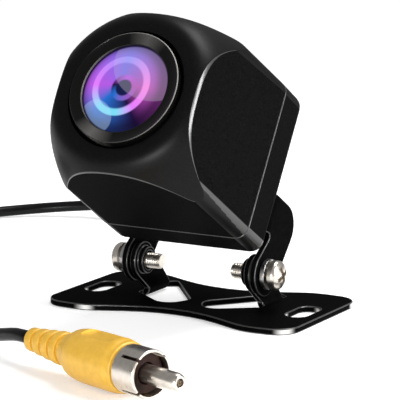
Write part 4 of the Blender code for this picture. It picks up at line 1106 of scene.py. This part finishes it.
def build_plug(mats):
    end = BOOT_LENGTH + PLUG_BODY
    edge = 0.2 * MM
    pitch = BOOT_LENGTH / BOOT_RIBS
    profile = [(0, 0)]
    for k in range(BOOT_RIBS):
        width = BOOT_TAIL_RADIUS + (BOOT_ROOT_RADIUS - BOOT_TAIL_RADIUS) * k / (BOOT_RIBS - 1)
        low, high = k * pitch, (k + 1) * pitch - BOOT_GROOVE
        profile += arc((width - edge, low + edge), edge, -90, 0, 3)
        profile += arc((width - edge, high - edge), edge, 0, 90, 3)
        profile += [(width - BOOT_GROOVE_DEPTH, high), (width - BOOT_GROOVE_DEPTH, (k + 1) * pitch)]
    shoulder = BOOT_LENGTH + PLUG_SHOULDER
    profile += bezier((BOOT_ROOT_RADIUS, BOOT_LENGTH),
                      (BOOT_ROOT_RADIUS + edge, BOOT_LENGTH + PLUG_SHOULDER / 2),
                      (SHOULDER_RADIUS - 2 * edge, shoulder - edge), (SHOULDER_RADIUS, shoulder), 5)
    profile += bezier((SHOULDER_RADIUS, shoulder), (SHOULDER_RADIUS + edge, shoulder + edge),
                      (PLUG_RADIUS, BOOT_LENGTH + PLUG_SWELL / 2),
                      (PLUG_RADIUS, BOOT_LENGTH + PLUG_SWELL), 6)[1:]
    profile += bezier((PLUG_RADIUS, end - PLUG_SHOULDER), (PLUG_RADIUS, end - PLUG_SHOULDER / 2),
                      (PLUG_FRONT_RADIUS, end - PLUG_SHOULDER / 2), (PLUG_FRONT_RADIUS, end - 2 * edge), 6)
    profile += arc((PLUG_FRONT_RADIUS - edge, end - edge), edge, 0, 90, 3) + [(0, end)]
    body = turned(profile, 72)
    middle = end - PLUG_SHOULDER - THUMB_LENGTH / 2
    grip = rounded_square(THUMB_WIDTH / 2, THUMB_LENGTH / 2, THUMB_WIDTH / 4)
    cuts = []
    for side in (-1, 1):
        cuts.append(("DIFFERENCE", loft([[(side * r, x, middle + y) for x, y in grip]
                                         for r in (PLUG_RADIUS - THUMB_DEPTH, 2 * PLUG_RADIUS)])))
    plug = piece("plug_moulding", carved(body, *cuts), mats["yellow"], "bracket", ("plug_body",),
                 PLUG, PLUG_ROUNDING, limit=35.0)
    root = end + GAP
    front = root + SHELL_LENGTH
    bore = SHELL_RADIUS - SHELL_WALL
    lip = 0.12 * MM
    ring = [(bore, root), (SHELL_RADIUS - lip, root), (SHELL_RADIUS, root + lip),
            (SHELL_RADIUS, front - lip), (SHELL_RADIUS - lip, front), (bore, front)]
    slots = [("DIFFERENCE", block((3 * SHELL_RADIUS, SHELL_SLOT, 2 * SHELL_SLOT_LENGTH), (0, 0, front),
                                  2 * math.pi * (k + 0.5) / SHELL_SLOTS)) for k in range(SHELL_SLOTS // 2)]
    shell = piece("plug_collar", carved(turned(ring, 96, True), *slots), mats["nickel"], "bracket",
                  ("plug_shell",), PLUG, SMALL_ROUNDING, limit=35.0)
    face = root + INSULATOR_LENGTH
    sleeve = [(PIN_RADIUS + GAP, root), (bore - GAP, root), (bore - GAP, face - lip),
              (bore - GAP - lip, face), (PIN_RADIUS + GAP, face)]
    sleeve = piece("plug_core", turned(sleeve, 64, True), mats["brown"], "bracket", ("plug_insulator",),
                   PLUG)
    tip = front + PIN_REACH
    pin = [(0, root), (PIN_RADIUS, root)]
    pin += bezier((PIN_RADIUS, tip - PIN_NOSE), (PIN_RADIUS, tip - PIN_NOSE / 3), (PIN_RADIUS - GAP, tip),
                  (PIN_BORE + GAP, tip), 8)
    pin += [(PIN_BORE, tip - lip), (PIN_BORE, tip - PIN_BORE_DEPTH), (0, tip - PIN_BORE_DEPTH)]
    pin = piece("plug_tip", turned(pin, 48), mats["nickel"], "bracket", ("plug_pin",), PLUG,
                limit=40.0)
    return [plug, shell, sleeve, pin]


def dress_nodes(mats):
    """Procedural materials for the CAD nodes that show as they are, or only once the camera is open."""
    looks = {"cable_gland": "rubber", "housing_gasket": "rubber", "lens_oring": "rubber",
             "lens_barrel": "black", "second_lens": "glass", "rear_lens": "glass", "ir_filter": "filter",
             "lens_holder": "housing", "image_sensor": "sensor", "circuit_board": "green",
             "board_screw_lower": "spring", "board_screw_upper": "spring", "board_connector": "white",
             "inner_lead": "cord"}
    for node, look in looks.items():
        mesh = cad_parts[node].data
        mesh.materials.clear()
        mesh.materials.append(mats[look])


# Stage, light and camera

def seen_ray(shader):
    """1 for rays that show the background: to the camera, in reflections and through glass."""
    path = shader.add("ShaderNodeLightPath")
    total = path.outputs["Is Camera Ray"]
    for ray in ("Is Glossy Ray", "Is Transmission Ray"):
        total = shader.math("MAXIMUM", total, path.outputs[ray])
    return total


def build_stage():
    """Pale floor: lit, with soft shadows, round the object, and plain white further off."""
    shader = Shader("pale_floor", (0.9, 0.9, 0.9), 0.9)
    place = shader.add("ShaderNodeTexCoord")
    reach = shader.add("ShaderNodeVectorMath", operation="LENGTH")
    shader.link(place.outputs["Object"], reach.inputs[0])
    far = shader.step(reach.outputs["Value"], FLOOR_NEAR, FLOOR_FAR)
    pale = shader.ramp(shader.noise(3.0), ((0.3, (0.84, 0.84, 0.84)), (0.7, (0.87, 0.87, 0.87))))
    shader.link(shader.mix(far, pale, (0.1, 0.1, 0.1)), shader.bsdf.inputs["Base Color"])
    shader.set("Emission Color", (1.0, 1.0, 1.0, 1.0))
    glow = shader.math("MULTIPLY_ADD", far, GLOW_GAIN, GLOW_NEAR)
    glow = shader.math("MULTIPLY", seen_ray(shader), glow)
    shader.link(glow, shader.bsdf.inputs["Emission Strength"])
    shader.set("Specular IOR Level", 0.0)
    bm = bmesh.new()
    bmesh.ops.create_grid(bm, x_segments=2, y_segments=2, size=FLOOR_REACH)
    floor = add_object("floor", bm, shader.mat)


def build_world():
    """Dim studio, so that the black parts stay black: the floor fills the photograph's view."""
    world = bpy.data.worlds.new("studio")
    bpy.context.scene.world = world
    world.use_nodes = True
    background = world.node_tree.nodes["Background"]
    background.inputs["Color"].default_value = (WORLD_GREY, WORLD_GREY, WORLD_GREY, 1.0)
    background.inputs["Strength"].default_value = 1.0


def build_lights():
    for name, (place, size, power) in LAMPS.items():
        light = bpy.data.lights.new(name, "AREA")
        light.shape = "RECTANGLE"
        light.size, light.size_y = size
        light.energy = power
        lamp = bpy.data.objects.new(name, light)
        lamp.location = place
        lamp.rotation_euler = (LAMP_AIM - Vector(place)).to_track_quat("-Z", "Y").to_euler()
        bpy.context.scene.collection.objects.link(lamp)


def build_camera():
    data = bpy.data.cameras.new("photo_camera")
    data.lens = CAMERA_LENS
    data.sensor_width = CAMERA_SENSOR
    data.clip_start, data.clip_end = CAMERA_CLIP
    camera = bpy.data.objects.new("photo_camera", data)
    camera.location = CAMERA_PLACE
    camera.rotation_euler = (math.pi / 2 - CAMERA_ELEVATION, 0, CAMERA_AZIMUTH)
    bpy.context.scene.collection.objects.link(camera)
    bpy.context.scene.camera = camera
    bpy.context.scene.view_settings.view_transform = "Standard"


def main():
    mats = make_materials()
    build_camera()
    plug_pieces = build_plug(mats)
    build_cord(mats)
    build_housing(mats)
    build_lens(mats)
    build_hinge_screws(mats)
    build_small_screws(mats)
    build_brackets(mats)
    dress_nodes(mats)
    build_stage()
    build_world()
    build_lights()


main()
